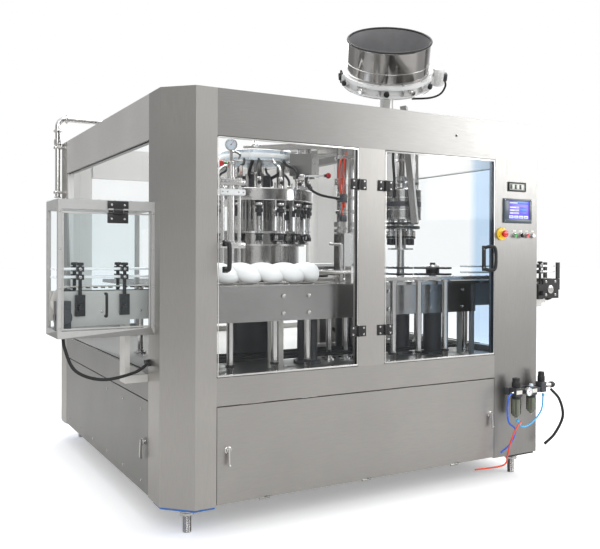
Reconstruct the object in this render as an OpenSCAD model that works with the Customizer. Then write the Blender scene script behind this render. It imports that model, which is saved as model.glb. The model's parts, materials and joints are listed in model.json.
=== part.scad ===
// Rotary filling and capping monobloc: a stainless cabinet with a filling carousel, a capping turret,
// a cap sorter over the roof, a timing screw, star wheels and the conveyors that pass through it.
// The row's origin is the centre of the whole machine's footprint at floor level: +X along the front to
// the right, +Y to the back, +Z up. Most modules work in the cabinet's own frame, whose origin is the
// virtual front left corner at the underside of the base.

/* [Cabinet] */
// Width of the cabinet along its front
cab_w = 2486; // [2470:2:2500]
// Depth of the cabinet, front to back
cab_d = 2550; // [2500:10:2650]
// Height of the cabinet without its feet
cab_h = 2100; // [2100:10:2150]
// Clear height under the cabinet, set by the levelling feet
foot_h = 150; // [130:5:170]
// Leg of the corner posts' 45 degree chamfer
chamfer = 137; // [130:1:145]
// Height of the lower doors and covers
cover_h = 500; // [490:2:500]
// Top of the sill rail, where the windows start
sill_top = 645; // [640:1:648]
// Height of the roof fascia
fascia_h = 238; // [230:1:240]

/* [Deck] */
// Top of the bed plate that carries the machinery
bed_top = 605; // [600:1:610]
// Top of the table under the bottles
table_top = 1100; // [1096:1:1102]
// Distance of the bottle lane's centre line from the front
lane_y = 370; // [368:1:372]

/* [Transport] */
// Pitch radius that each pocket adds to a wheel: bottle pitch divided by two pi
pocket_r = 21.875; // [21.8:0.025:21.9]
// Number of filling valves on the carousel
valve_n = 16; // [16:1:16]
// Number of pockets on the infeed star wheel
infeed_n = 6; // [6:1:6]
// Number of pockets on the star wheel between filler and capper
transfer_n = 14; // [14:1:14]
// Number of capping heads
head_n = 4; // [4:1:4]
// Number of pockets on the exit star wheel
exit_n = 6; // [6:1:6]
// Gear teeth for each pocket, the same on every wheel
teeth_per_pocket = 5; // [5:1:5]

/* [Doors] */
// Thickness of the clear door panels
pane_t = 8; // [6:1:8]
// Height of the two hinge lines above the base
hinge_low = 841; // [830:1:860]
// Height of the upper hinge line
hinge_high = 1657; // [1640:1:1670]

/* [Hidden] */
$fn = 48;

// Radial clearance of every running fit, and the gap that keeps loose neighbours apart
fit = 0.05;
gap = 3;
sheet = 3;
steel = [0.68, 0.67, 0.65];
polished = [0.78, 0.78, 0.78];
black = [0.08, 0.08, 0.09];
clear = [0.85, 0.92, 0.93, 0.25];

// Front elevation: edges of the posts, mullion and openings along X
post_x = 251;
post_y = 315;
band = 50;
mullion_x = [1100, 1280];
control_x = cab_w - 364;
fascia_z = cab_h - fascia_h;

// Wheel radii and gear sizes
function wheel_r(n) = pocket_r * n;
gear_m = 2 * pocket_r / teeth_per_pocket;
gear_z = [500, 530];
shaft_z = 490;
filler_r = wheel_r(valve_n);
filler_c = [935, 965];
capper_c = [1845, 600];
shaft_r = 25;
filler_shaft_r = 60;

// A wheel tangent to the lane on its inner side, at a given distance from another wheel
function beside(c, reach, y, side) = [c.x + side * sqrt(reach * reach - (c.y - y) * (c.y - y)), y];
function heading(a, b) = atan2(b.y - a.y, b.x - a.x);
infeed_c = beside(filler_c, filler_r + wheel_r(infeed_n), lane_y + wheel_r(infeed_n), 1);
exit_c = beside(capper_c, wheel_r(head_n) + wheel_r(exit_n), lane_y + wheel_r(exit_n), 1);
// The transfer wheel touches the filler and the capper, on the side away from the front
link_l = norm(capper_c - filler_c);
reach_f = filler_r + wheel_r(transfer_n);
reach_c = wheel_r(head_n) + wheel_r(transfer_n);
along = (reach_f * reach_f - reach_c * reach_c + link_l * link_l) / (2 * link_l);
aside = sqrt(reach_f * reach_f - along * along);
link_u = (capper_c - filler_c) / link_l;
transfer_c = filler_c + along * link_u + aside * [-link_u.y, link_u.x];
pinion_n = 20;
pinion_turn = 140;
pinion_c = filler_c + gear_m * (valve_n * teeth_per_pocket + pinion_n) / 2 * [cos(pinion_turn), sin(pinion_turn)];

// Phase of a wheel whose pocket (or tooth space) meets the neighbour's at the contact line
function meet(phase, na, nb, turn) = turn + 180 + (turn - phase) * na / nb;
function mesh(phase, na, nb, turn) = meet(phase, na, nb, turn) + 180 / nb;
function teeth(n) = n * teeth_per_pocket;
filler_phase = 0;
infeed_phase = meet(filler_phase, valve_n, infeed_n, heading(filler_c, infeed_c));
transfer_phase = meet(filler_phase, valve_n, transfer_n, heading(filler_c, transfer_c));
capper_phase = meet(transfer_phase, transfer_n, head_n, heading(transfer_c, capper_c));
exit_phase = meet(capper_phase, head_n, exit_n, heading(capper_c, exit_c));
infeed_gear_phase = mesh(0, teeth(valve_n), teeth(infeed_n), heading(filler_c, infeed_c));
transfer_gear_phase = mesh(0, teeth(valve_n), teeth(transfer_n), heading(filler_c, transfer_c));
capper_gear_phase = mesh(transfer_gear_phase, teeth(transfer_n), teeth(head_n), heading(transfer_c, capper_c));
exit_gear_phase = mesh(capper_gear_phase, teeth(head_n), teeth(exit_n), heading(capper_c, exit_c));
pinion_phase = mesh(0, teeth(valve_n), pinion_n, pinion_turn);

// Levels of the carousels
star_z = [[1130, 1142], [1172, 1184]];
bottle_pocket = 34;
neck_pocket = 17;
ring_z = [1597, 1671];
ring_r = 375;
tank_z = [1858, 1921];
tank_r = 235;
nozzle_z = 1352;

// Planetary drive of the capping heads
sun_n = 48;
planet_n = 22;
head_m = 2 * wheel_r(head_n) / (sun_n + planet_n);
head_gear_z = [1520, 1535];

// Timing screw
screw_y = 272;
screw_z = 1163;
screw_x = [292, 979];
screw_pitch = 2 * PI * pocket_r;
screw_shaft_r = 14;

// Cap sorter: centre of its ring, the way it faces and how far it leans
sorter_c = [1804, 701, 2520];
sorter_turn = -29.5;
sorter_lean = 33;
sorter_r = 277;
sorter_h = 214;
sorter_ring_r = 306;
sorter_ring_t = 80;

// Conveyors
chain_top = table_top + 4;
chain_r = 80;
chain_t = 12;
chain_w = 84;
infeed_x = [-395, 1120];
outfeed_x = [2045, 2950];
guard_x = -478;
guard_y = 215;

// Doors
door_z = [sill_top + 4, fascia_z - 4];
pin_y = -8;
left_pin_x = mullion_x[0] - 1;
right_pin_x = mullion_x[1] + 1;

// ---------- shared shapes ----------

// The conveyors and the tubes reach past the cabinet, so the footprint's centre lies off the cabinet's
off_centre = [40, -63];
module in_cabinet() translate([-cab_w / 2 - off_centre.x, -cab_d / 2 - off_centre.y, foot_h]) children();
module box(a, b) translate(a) cube(b - a);
module rod_z(p, r, h) translate(p) cylinder(r = r, h = h);
module rod_x(p, r, l) translate(p) rotate([0, 90, 0]) cylinder(r = r, h = l);
module rod_y(p, r, l) translate(p) rotate([-90, 0, 0]) cylinder(r = r, h = l);
module at(c) translate([c.x, c.y, 0]) children();

// Square tube along one axis (0 is X, 1 is Y, 2 is Z), open at its ends
module square_tube(a, b, axis, wall = sheet) {
    inset = [for (i = [0:2]) i == axis ? -1 : wall];
    difference() {
        box(a, b);
        box(a + inset, b - inset);
    }
}

// Flat ring from one height to another
module ring(outer, inner, z) translate([0, 0, z[0]]) difference() {
    cylinder(r = outer, h = z[1] - z[0]);
    translate([0, 0, -1]) cylinder(r = inner, h = z[1] - z[0] + 2);
}

// Thin-walled corner post section: front leg, chamfer and side leg, inset by i
module post_section(i) polygon([
    [chamfer + 0.414 * i, i], [post_x - i, i], [post_x - i, band - i],
    [chamfer + 21 - 0.414 * i, band - i], [band - i, chamfer + 21 - 0.414 * i],
    [band - i, post_y - i], [i, post_y - i], [i, chamfer + 0.414 * i]]);

module corner_post() {
    linear_extrude(cab_h) difference() {
        post_section(0);
        post_section(sheet);
    }
    for (z = [0, cab_h - sheet]) translate([0, 0, z]) linear_extrude(sheet) post_section(0.5);
}

// Spur gear outline with straight-sided teeth and backlash
module gear_2d(n, m, phase) polygon([
    for (i = [0:n - 1], k = [0:3])
        let (a = phase + (i + [-0.29, -0.12, 0.12, 0.29][k]) * 360 / n)
        let (r = m * (n / 2 + [-1.1, 0.8, 0.8, -1.1][k]))
        [r * cos(a), r * sin(a)]]);

module gear(n, m, phase, z, bore) translate([0, 0, z[0]]) linear_extrude(z[1] - z[0]) difference() {
    gear_2d(n, m, phase);
    circle(r = bore);
}

// Star wheel plate: a disc with half-round pockets on its pitch circle and lightening windows
module star_plate(n, phase, z, pocket, windows) translate([0, 0, z[0]]) linear_extrude(z[1] - z[0])
    difference() {
        circle(r = wheel_r(n) - gap);
        for (i = [0:n - 1]) rotate(phase + i * 360 / n) translate([wheel_r(n), 0]) circle(r = pocket);
        for (i = [0:windows - 1]) rotate(phase + (i + 0.5) * 360 / windows)
            translate([wheel_r(n) * 0.52, 0]) circle(r = wheel_r(n) * 0.17);
    }

// A wheel on its shaft: gear below the bed, two plates above the table
module star_wheel(c, n, phase, gear_phase, windows) at(c) {
    rod_z([0, 0, shaft_z], shaft_r, 1200 - shaft_z);
    gear(teeth(n), gear_m, gear_phase, gear_z, shaft_r - 1);
    for (z = star_z) star_plate(n, phase, z, bottle_pocket, windows);
    rod_z([0, 0, star_z[0][1]], 45, star_z[1][0] - star_z[0][1]);
    rod_z([0, 0, 1200], 18, 14);
}

// Round bar between two points
module link(a, b, r) {
    d = b - a;
    translate(a) rotate([0, acos(d.z / norm(d)), atan2(d.y, d.x)]) cylinder(r = r, h = norm(d));
}

// Soft tube through a list of points, with eight-sided sections
module soft_tube(points, r) for (i = [0:len(points) - 2]) hull() {
    translate(points[i]) sphere(r = r, $fn = 8);
    translate(points[i + 1]) sphere(r = r, $fn = 8);
}

// Quarter bend of a pipe, centre of the bend at the origin, from +X towards +Z
module bend(r, pipe) rotate([90, 0, 0]) rotate_extrude(angle = 90) translate([r, 0]) circle(r = pipe);

// ---------- cabinet ----------

panel_hinge_x = [520, 1160, 1800];
panel_pin_z = 6;

module base_frame() color(steel) in_cabinet() {
    lo = 55;
    t = 80;
    for (y = [lo, cab_d - lo - t]) square_tube([165, y, 0], [cab_w - 165, y + t, t], 0, 5);
    for (x = [lo, cab_w - lo - t]) square_tube([x, 165, 0], [x + t, cab_d - 165, t], 1, 5);
    for (x = [700, 1200, 1750]) square_tube([x, lo + t, 0], [x + t, cab_d - lo - t, t], 1, 5);
    for (x = [165, 1200, cab_w - 245], y = [lo + t, cab_d / 2, cab_d - lo - 2 * t])
        box([x, y, t], [x + t, y + t, bed_top - bed_t]);
    // fixed knuckles and pins of the front cover's hinges, on arms below the cover's edge
    for (x = panel_hinge_x) {
        box([x, 0, 1], [x + 30, lo + 1, 5]);
        rod_x([x, 0, panel_pin_z], 5, 30);
        rod_x([x - 30, 0, panel_pin_z], 2.5, 31);
    }
    // corner pads that carry the feet and stand on the tubes' ends
    for (x = [60, cab_w - 240], y = [60, cab_d - 240]) difference() {
        box([x, y, 0], [x + 180, y + 180, 10]);
        at([x < 500 ? 0 : cab_w, y < 500 ? 0 : cab_d])
            rotate(45) cube([2 * 150, 2 * 150, 60], center = true);
    }
}

foot_at = [[150, 143], [cab_w - 103, 119], [150, cab_d - 143], [cab_w - 150, cab_d - 143]];

// Threaded rods with lock nuts, and the plates between nut and post
module levelling_feet() in_cabinet() {
    for (i = [0:3]) {
        c = foot_at[i];
        color(polished) at(c) {
            translate([0, 0, -foot_h]) cylinder(r1 = 20, r2 = 22, h = 4);
            rod_z([0, 0, -foot_h + 4], 22, foot_h - 14);
            translate([0, 0, -53]) cylinder(r = 40, h = 42, $fn = 6);
        }
    }
    color([0.03, 0.22, 0.42]) {
        foot_plate();
        translate([0, cab_d, 0]) mirror([0, 1, 0]) foot_plate();
    }
    color(black) {
        translate([cab_w, cab_d, 0]) mirror([1, 0, 0]) mirror([0, 1, 0]) foot_plate();
        box([cab_w - 240, 6, -10], [cab_w - 20, 240, 0]);
    }
}

module foot_plate() translate([0, 0, -10]) linear_extrude(10)
    polygon([[chamfer, 6], [post_x - 6, 6], [post_x - 6, 240], [6, 240], [6, chamfer]]);

module corner_posts() color(steel) in_cabinet() {
    corner_post();
    translate([0, cab_d, 0]) mirror([0, 1, 0]) corner_post();
    translate([cab_w, cab_d, 0]) mirror([1, 0, 0]) mirror([0, 1, 0]) corner_post();
    // mullions between the doors and between the rear windows
    for (y = [0, cab_d - band])
        square_tube([mullion_x[0], y, sill_top], [mullion_x[1], y + band, fascia_z], 2);
}

module control_section(i) polygon([
    [control_x + i, i], [cab_w - i, i], [cab_w - i, post_y - i], [cab_w - band + i, post_y - i],
    [cab_w - band + i, band - i], [control_x + i, band - i]]);

module control_post() color(steel) in_cabinet() {
    linear_extrude(cab_h) difference() {
        control_section(0);
        control_section(sheet);
    }
    for (z = [0, cab_h - sheet]) translate([0, 0, z]) linear_extrude(sheet) control_section(0.5);
}

sorter_beam_x = [1640, 1900];
beam_z = [1990, 2050];

module roof_frame() color(steel) in_cabinet() {
    square_tube([post_x, 0, fascia_z], [control_x, 60, cab_h], 0);
    square_tube([post_x, cab_d - 60, fascia_z], [cab_w - post_x, cab_d, cab_h], 0);
    square_tube([0, post_y, fascia_z], [60, cab_d - post_y, cab_h], 1);
    square_tube([cab_w - 60, post_y, fascia_z], [cab_w, cab_d - post_y, cab_h], 1);
    // cross beams and the plate that carries the cap sorter
    for (x = concat(sorter_beam_x, 1320))
        square_tube([x, 60, beam_z[0]], [x + 60, cab_d - 60, beam_z[1]], 1, 4);
    difference() {
        box([sorter_beam_x[0], 380, beam_z[1]], [sorter_beam_x[1] + 60, 860, beam_z[1] + 12]);
        box([1725, 400, beam_z[1] - 1], [1825, 545, beam_z[1] + 13]);
    }
}

// Sill rails under the windows, with the fixed lower covers of the sides and the back
module side_panels() color(steel) in_cabinet() {
    z = [cover_h + 3, sill_top];
    square_tube([post_x, 0, z[0]], [control_x, 60, z[1]], 0);
    square_tube([post_x, cab_d - 60, z[0]], [cab_w - post_x, cab_d, z[1]], 0);
    square_tube([0, post_y, z[0]], [60, cab_d - post_y, z[1]], 1);
    square_tube([cab_w - 60, post_y, z[0]], [cab_w, cab_d - post_y, z[1]], 1);
    cover([0, post_y + 3, 8], [25, cab_d - post_y - 3, cover_h - 3], 0);
    translate([cab_w, 0, 0]) mirror([1, 0, 0])
        cover([0, post_y + 3, 8], [25, cab_d - post_y - 3, cover_h - 3], 0);
    translate([0, cab_d, 0]) mirror([0, 1, 0])
        cover([post_x + 3, 0, 8], [cab_w - post_x - 3, 25, cover_h - 3], 1);
    // quarter-turn fastener on the left cover
    rod_x([-18, 372, 280], 14, 18);
    box([-26, 366, 190], [-16, 378, 284]);
}

// Folded sheet cover: a tray open towards the inside, thin across the given axis
module cover(a, b, axis) difference() {
    box(a, b);
    box(a + [2, 2, 2], b - [for (i = [0:2]) i == axis ? -1 : 2]);
}

// Clear fixed sheets: sides, back and the infeed tunnel
module clear_windows() color(clear) in_cabinet() {
    z = [sill_top + 1, fascia_z - 1];
    // each side has one large sheet, and a short one below and above the bottles' way through
    for (x = [20, cab_w - 28]) {
        box([x, 500.1, z[0]], [x + pane_t, cab_d - post_y - 1, z[1]]);
        box([x, post_y + 1, z[0]], [x + pane_t, 500, z[0] + 60]);
        box([x, post_y + 1, 1400], [x + pane_t, 500, z[1]]);
    }
    for (x = [[post_x + 1, mullion_x[0] - 1], [mullion_x[1] + 1, cab_w - post_x - 1]])
        box([x[0], cab_d - 30, z[0]], [x[1], cab_d - 30 + pane_t, z[1]]);
    box([guard_x + 19, 482, 894], [-19, 488, 1482]);
    box([guard_x + 1, guard_y + 1, 1530], [-1, 499, 1535]);
}

// ---------- bed and deck ----------

bed_edge = 75;
bed_cut = 64;
bed_t = 25;

// Bed plate with cut corners, bored for the shafts
module bed_plate() color(steel) in_cabinet() translate([0, 0, bed_top - bed_t]) linear_extrude(bed_t)
    difference() {
        polygon([
            [bed_edge + bed_cut, bed_edge], [cab_w - bed_edge - bed_cut, bed_edge],
            [cab_w - bed_edge, bed_edge + bed_cut], [cab_w - bed_edge, cab_d - bed_edge - bed_cut],
            [cab_w - bed_edge - bed_cut, cab_d - bed_edge], [bed_edge + bed_cut, cab_d - bed_edge],
            [bed_edge, cab_d - bed_edge - bed_cut], [bed_edge, bed_edge + bed_cut]]);
        for (c = wheels) at(c) circle(r = (c == filler_c ? filler_shaft_r : shaft_r) + 4);
    }

front_columns = [[412, 200], [680, 200], [890, 200], [1219, 200]];
ledge_columns = [[1488, 200], [1683, 200], [1894, 200], [2300, 200]];
inner_columns = [[1254, 560], [1364, 540], [2309, 480], [300, 700], [2300, 1000], [1254, 1400],
    [300, 1400], [760, 1420], [1800, 1400], [2300, 1400]];
table_z = table_top - 20;
ledge_z = [1112, 1132];
guide_post_c = [530, 455];

// Round polished columns: from bed to deck, and the guide post beside the filler
module deck_columns() color(polished) in_cabinet() {
    for (c = concat(front_columns, inner_columns)) column(c, table_z);
    for (c = ledge_columns) column(c, ledge_z[0]);
    at(guide_post_c) {
        rod_z([0, 0, table_top], 22, 1774 - table_top);
        for (x = [-52, 52]) rod_z([x, 0, table_top], 11, 1690 - table_top);
        for (z = [1300, 1603, 1660]) box([-75, -28, z], [75, 28, z + 34]);
        rod_z([0, 0, 1774], 16, 4);
        rod_z([0, 0, 1777], 9, 1856 - 1777);
        // sensor arm that reaches towards the carousel
        rotate(heading(guide_post_c, filler_c)) {
            box([20, -9, 1720], [250, 9, 1744]);
            box([20, -30, 1712], [40, 30, 1752]);
            box([232, -9, 1744], [250, 9, 1800]);
        }
    }
}

module column(c, top) at(c) {
    rod_z([0, 0, bed_top], 19, top - bed_top);
    rod_z([0, 0, bed_top], 45, 12);
    rod_z([0, 0, bed_top + 12], 26, 10);
}

table_x = [62, cab_w - 64];
ledge_x = 1330;
wheels = [filler_c, infeed_c, transfer_c, capper_c, exit_c];

// Table plate with its raised front ledge, cut for the shafts and the two lanes
module deck_table() color(polished) in_cabinet() {
    difference() {
        union() {
            box([table_x[0], 250, table_z], [table_x[1], 1460, table_top]);
            box([table_x[0], 150, table_z], [ledge_x, 250, table_top]);
        }
        translate([0, 0, table_z - 1]) {
            for (c = wheels) at(c) cylinder(r = c == filler_c ? 80 : 34, h = 22);
            box([0, lane_y - 48, 0], [1210, lane_y + 48, 22]);
            box([1955, lane_y - 48, 0], [cab_w, lane_y + 48, 22]);
        }
    }
    box([ledge_x + gap, 150, ledge_z[0]], [table_x[1], 240, ledge_z[1]]);
}

// Bent apron plates under the table's front
module deck_skirt() color(steel) in_cabinet() {
    box([80, 136, 905], [1246, 139, 1092]);
    box([1243, 139, 905], [1246, 293, table_z]);
    box([1243, 290, 895], [2230, 293, table_z]);
    box([80, 139, table_z - sheet], [1246, 170, table_z]);
    for (x = [700, 860], z = [945, 1040]) rod_y([x, 130, z], 8, 6);
    for (x = [1520, 1850, 2120], z = [930, 1040]) rod_y([x, 284, z], 8, 6);
}

// Cast housings that guide the shafts, and the timing screw's blocks
module bearing_housings() color([0.2, 0.2, 0.21]) in_cabinet() {
    for (c = wheels) at(c) {
        big = c == filler_c;
        r = big ? filler_shaft_r : shaft_r;
        difference() {
            union() {
                rod_z([0, 0, bed_top], big ? 150 : 62, 1015 - bed_top);
                rod_z([0, 0, bed_top], big ? 190 : 84, 18);
                if (big) rod_z([0, 0, 900], 175, 60);
            }
            translate([0, 0, bed_top - 1]) cylinder(r = r + fit, h = 420);
        }
    }
    for (x = [262, 1210]) difference() {
        box([x, screw_y - 32, table_top], [x + 26, screw_y + 32, screw_z + 34]);
        rod_x([x - 1, screw_y, screw_z], screw_shaft_r + fit, 28);
    }
    // bevel box that turns the screw
    box([1262, screw_y - 42, table_top], [1325, screw_y + 36, screw_z + 50]);
}

motor_z = 210;
pinion_shaft_r = 22;

// Main gear motor on a plate across the base tubes, and the infeed conveyor's drive
module main_motor() color([0.16, 0.17, 0.2]) in_cabinet() {
    at(pinion_c) difference() {
        union() {
            box([-105, -105, 92], [105, 105, 330]);
            rod_z([0, 0, 330], 60, 24);
        }
        translate([0, 0, 240]) cylinder(r = pinion_shaft_r + fit, h = 120);
    }
    box([60, pinion_c.y - 146, 80], [780, pinion_c.y + 24, 92]);
    at(pinion_c) {
        rod_y([0, 105, motor_z], 88, 260);
        rod_y([0, 365, motor_z], 80, 40);
        box([60, 150, motor_z - 35], [120, 300, motor_z + 35]);
        for (i = [0:5]) rod_y([0, 130 + 36 * i, motor_z], 94, 8);
    }
    rod_y([-440, 262, 955], 40, 58);
    box([-476, 268, 896], [-404, 316, 1035]);
}

// ---------- conveyors ----------

module lane_frame(x) {
    for (y = [lane_y - 50, lane_y + 47]) box([x[0], y, 930], [x[1], y + sheet, table_z]);
    for (x1 = [x[0] + 200:220:x[1] - 200])
        box([x1, lane_y - 47, 975], [x1 + 30, lane_y + 47, 1005]);
}

module conveyor_frames() color([0.72, 0.7, 0.66]) in_cabinet() {
    lane_frame([guard_x, 1205]);
    lane_frame([1962, 2918]);
    // posts from the bed to the lanes, and struts that carry the overhanging ends
    for (x = [260, 760, 2200], y = [lane_y - 70, lane_y + 50])
        box([x, y, bed_top], [x + 30, y + 20, 1050]);
    for (x = [[-430, -120], [2610, 2880]], y = [lane_y - 50, lane_y + 40])
        box([x[0], y, 905], [x[1], y + 10, 930]);
    box([-120, lane_y - 50, 600], [-96, lane_y + 50, 930]);
    box([-120, lane_y - 50, 600], [0, lane_y + 50, 640]);
    box([cab_w + 96, lane_y - 50, 600], [cab_w + 124, lane_y + 50, 930]);
    box([cab_w, lane_y - 50, 600], [cab_w + 124, lane_y + 50, 640]);
    box([cab_w + 96, lane_y - 50, 905], [2620, lane_y + 50, 930]);
}

module stadium(x, r) {
    translate([x[0], 0]) circle(r = r);
    translate([x[1], 0]) circle(r = r);
    translate([x[0], -r]) square([x[1] - x[0], 2 * r]);
}

// Closed loop of slats with its end rollers; the far shaft runs on into outer bearings
module lane_chain(x, reach) translate([0, lane_y + chain_w / 2, chain_top - chain_r]) rotate([90, 0, 0]) {
    linear_extrude(chain_w) difference() {
        stadium(x, chain_r);
        stadium(x, chain_r - chain_t);
    }
    for (i = [0, 1]) translate([x[i], 0, chain_w / 2]) {
        cylinder(r = chain_r - chain_t - 1, h = chain_w - 8, center = true);
        cylinder(r = 12, h = 2 * (i == 0 ? 47 : reach), center = true);
    }
}

module conveyor_chains() color([0.8, 0.79, 0.76]) in_cabinet() {
    lane_chain(infeed_x, 47);
    lane_chain(outfeed_x, 66);
}

// Tunnel frame of the infeed, with the fixed hinge leaf of its lift-up door
module infeed_guard() color([0.86, 0.86, 0.85]) in_cabinet() {
    for (y = [guard_y, 470]) {
        box([guard_x, y, 1483], [0, y + 30, 1530]);
        box([guard_x, y, 857], [0, y + 30, 893]);
        for (x = [guard_x, -18]) box([x, y, 893], [x + 18, y + 30, 1483]);
    }
    for (x = [guard_x, -18]) box([x, guard_y + 30, 1483], [x + 18, 470, 1530]);
    box([guard_x, guard_y + 30, 857], [guard_x + 18, 470, 893]);
    box([-240, 209, 1487], [-140, guard_y, 1529]);
    for (x = [-240, -165]) {
        rod_x([x, 206, 1477], 6, 25);
        box([x, 203, 1480], [x + 25, 212, 1490]);
    }
    rod_x([-216, 206, 1477], 2.5, 52);
}

// Bottle guide rails: two bars each side of the lanes
module guide_rails() color([0.9, 0.9, 0.88]) in_cabinet() {
    for (z = [1150, 1190]) {
        for (y = [lane_y - 38, lane_y + 38]) rod_x([guard_x + 4, y, z], 6, y < lane_y ? 720 : 1345);
        for (y = [lane_y - 38, lane_y + 38]) rod_x([2205, y, z], 6, 815);
    }
    // curved guides around the outside of the transfer wheel, towards the filler and the capper
    at(transfer_c) for (z = [1150, 1196]) translate([0, 0, z])
        rotate(24) rotate_extrude(angle = 100) translate([wheel_r(transfer_n) + 40, 0]) circle(r = 6);
    at(transfer_c) for (turn = [30, 70, 115]) rotate(turn)
        rod_z([wheel_r(transfer_n) + 40, 0, table_top + fit], 9, 110);
}

// Black clamps that hold the rails on posts at the lane's side plates
module rail_clamp(x, side) {
    y = lane_y + side * 50;
    s = side < 0 ? 1 : 0;
    box([x - 24, y - 22 * s, 956], [x + 24, y + 22 * (1 - s), 1062]);
    rod_z([x, y + side * 12, 1060], 9, 150);
    for (z = [1150, 1190])
        box([x - 17, min(y + side * 22, y - side * 5.9), z - 13], [x + 17, max(y + side * 22, y - side * 5.9), z + 13]);
    rod_y([x, side < 0 ? y - 40 : y + 20, 1000], 15, 20);
    rod_z([x, y + side * 12, 1208], 17, 14);
}

module rail_clamps() color(black) in_cabinet() {
    for (x = [-352, -128, 2560, 2850], side = [-1, 1]) rail_clamp(x, side);
    // end bearings of the outfeed
    for (y = [lane_y - 66, lane_y + 50.5]) difference() {
        box([2880, y, 960], [3034, y + 15.5, 1100]);
        rod_y([outfeed_x[1], y - 1, chain_top - chain_r], 12 + fit, 18);
    }
    box([3034, lane_y - 66, 1020], [3046, lane_y + 66, 1098]);
    for (y = [lane_y - 66, lane_y + 50.5]) box([3020, y, 1100.1], [3046, y + 15.5, 1215]);
}

// ---------- filler ----------

cover_c = [1160, 713];
support_c = [1350, 500];

// Support column, bridge over the carousel, its gear cover and the fixed distributor
module filler_bridge() color(polished) in_cabinet() {
    at(support_c) {
        box([-60, -60, table_top], [60, 60, 1400]);
        rod_z([0, 0, 1400], 66, beam_z[0] - 1400);
        rod_z([0, 0, beam_z[0] - 16], 95, 16);
        rod_z([0, 0, 1440], 84, 30);
        rod_z([0, 0, 1700], 84, 40);
    }
    at(support_c) rotate(heading(support_c, filler_c)) {
        box([60, -45, 1935], [norm(filler_c - support_c) + 70, 45, 1975]);
        box([60, -30, 1905], [190, 30, 1935]);
    }
    at(cover_c) rotate(heading(support_c, filler_c)) {
        box([-72, -80, 1765], [72, 80, 1905]);
        rotate([90, 0, 90]) translate([0, 1765, -72]) cylinder(r = 17, h = 144);
        rod_z([0, 0, 1905], 40, 30);
    }
    at(filler_c) {
        rod_z([0, 0, 1800], 55, 1935 - 1800);
        rod_z([0, 0, 1928], 90, 7);
    }
    // pivot of the right ball lever on a bracket under the gear cover
    at(cover_c) rotate(heading(support_c, filler_c)) {
        box([-55, 62, 1727], [-15, 165, 1744]);
        box([-55, 62, 1744], [-15, 78, 1770]);
    }
    translate([right_lever_at.x, right_lever_at.y, 1735]) cylinder(r = 10, h = 30);
}

// Rotating part of the filler: base star, drum, gripper ring, tank ring and top tank
module filler_turret() color(polished) in_cabinet() at(filler_c) {
    rod_z([0, 0, shaft_z], filler_shaft_r, star_z[0][0] - shaft_z);
    star_plate(valve_n, filler_phase, star_z[0], bottle_pocket, 0);
    ring(285, 279, [star_z[0][1], 1400]);
    ring(wheel_r(valve_n) - gap - 26, 284, [1318, 1330]);
    translate([0, 0, 1400]) cylinder(r = 300, h = 12);
    for (i = [0:7]) rotate(i * 45 + 22.5) rod_z([235, 0, 1412], 12, ring_z[0] - 1412);
    ring(120, 112, [1412, ring_z[0]]);
    ring(ring_r, 268, ring_z);
    translate([0, 0, ring_z[0]]) cylinder(r = 270, h = 12);
    for (i = [0:5]) rotate(i * 60 + 10) rod_z([190, 0, ring_z[0] + 12], 13, tank_z[0] - ring_z[0] - 12);
    difference() {
        translate([0, 0, tank_z[0]]) cylinder(r = tank_r, h = tank_z[1] - tank_z[0]);
        translate([0, 0, tank_z[0] + 4]) cylinder(r = tank_r - 4, h = tank_z[1] - tank_z[0] - 8);
        translate([0, 0, tank_z[0] - 1]) cylinder(r = 60, h = 80);
    }
    ring(68, 60, tank_z);
    for (i = [0:valve_n - 1]) rotate(filler_phase + i * 360 / valve_n) gripper();
}

// Neck gripper: a forked block on the gripper ring at each pocket
module gripper() translate([wheel_r(valve_n), 0, 1330]) difference() {
    box([-58, -24, 0], [-3, 24, 14]);
    translate([0, 0, -1]) cylinder(r = neck_pocket, h = 16);
}

// Filling valves under the tank ring
module filling_valve() translate([wheel_r(valve_n), 0, 0]) {
    rod_z([0, 0, 1500], 24, ring_z[0] - fit - 1500);
    rod_z([0, 0, 1560], 25, 20);
    rod_z([0, 0, nozzle_z], 11, 1500 - nozzle_z);
    rod_z([0, 0, nozzle_z], 20, 34);
    rod_z([0, 0, 1420], 17, 30);
    for (y = [-17, 17]) rod_z([0, y, nozzle_z + 24], 4, 1500 - nozzle_z - 24);
}

module filler_valves() color([0.3, 0.3, 0.3]) in_cabinet() at(filler_c)
    for (i = [0:valve_n - 1]) rotate(filler_phase + i * 360 / valve_n) filling_valve();

module filler_gear() color([0.55, 0.55, 0.56]) in_cabinet() at(filler_c)
    difference() {
        gear(teeth(valve_n), gear_m, 0, gear_z, filler_shaft_r + fit);
        for (i = [0:7]) rotate(i * 45) rod_z([200, 0, gear_z[0] - 1], 60, 40);
    }

// Ball lever: hub, sloped arm and ball knob, reaching along X from its pivot
module ball_lever(p, hub_r, reach, drop) translate(p) {
    cylinder(r = hub_r, h = 16);
    link([0, 0, 8], [reach, 0, 8 - drop], 5.5);
    translate([reach, 0, 8 - drop]) rotate(90) sphere(r = 19);
}

left_lever_at = [530, 455, 1778.5];
right_lever_at = [1075, 590, 1745];

module left_ball_lever() color([0.75, 0.1, 0.12]) in_cabinet() difference() {
    ball_lever(left_lever_at, 24, -62, 4);
    translate(left_lever_at - [0, 0, 1]) cylinder(r = 9 + fit, h = 20);
}
module right_ball_lever() color([0.75, 0.1, 0.12]) in_cabinet() difference() {
    ball_lever(right_lever_at, 22, 190, -14);
    translate(right_lever_at - [0, 0, 1]) cylinder(r = 10 + fit, h = 20);
}

// ---------- star wheels and drive ----------

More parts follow.
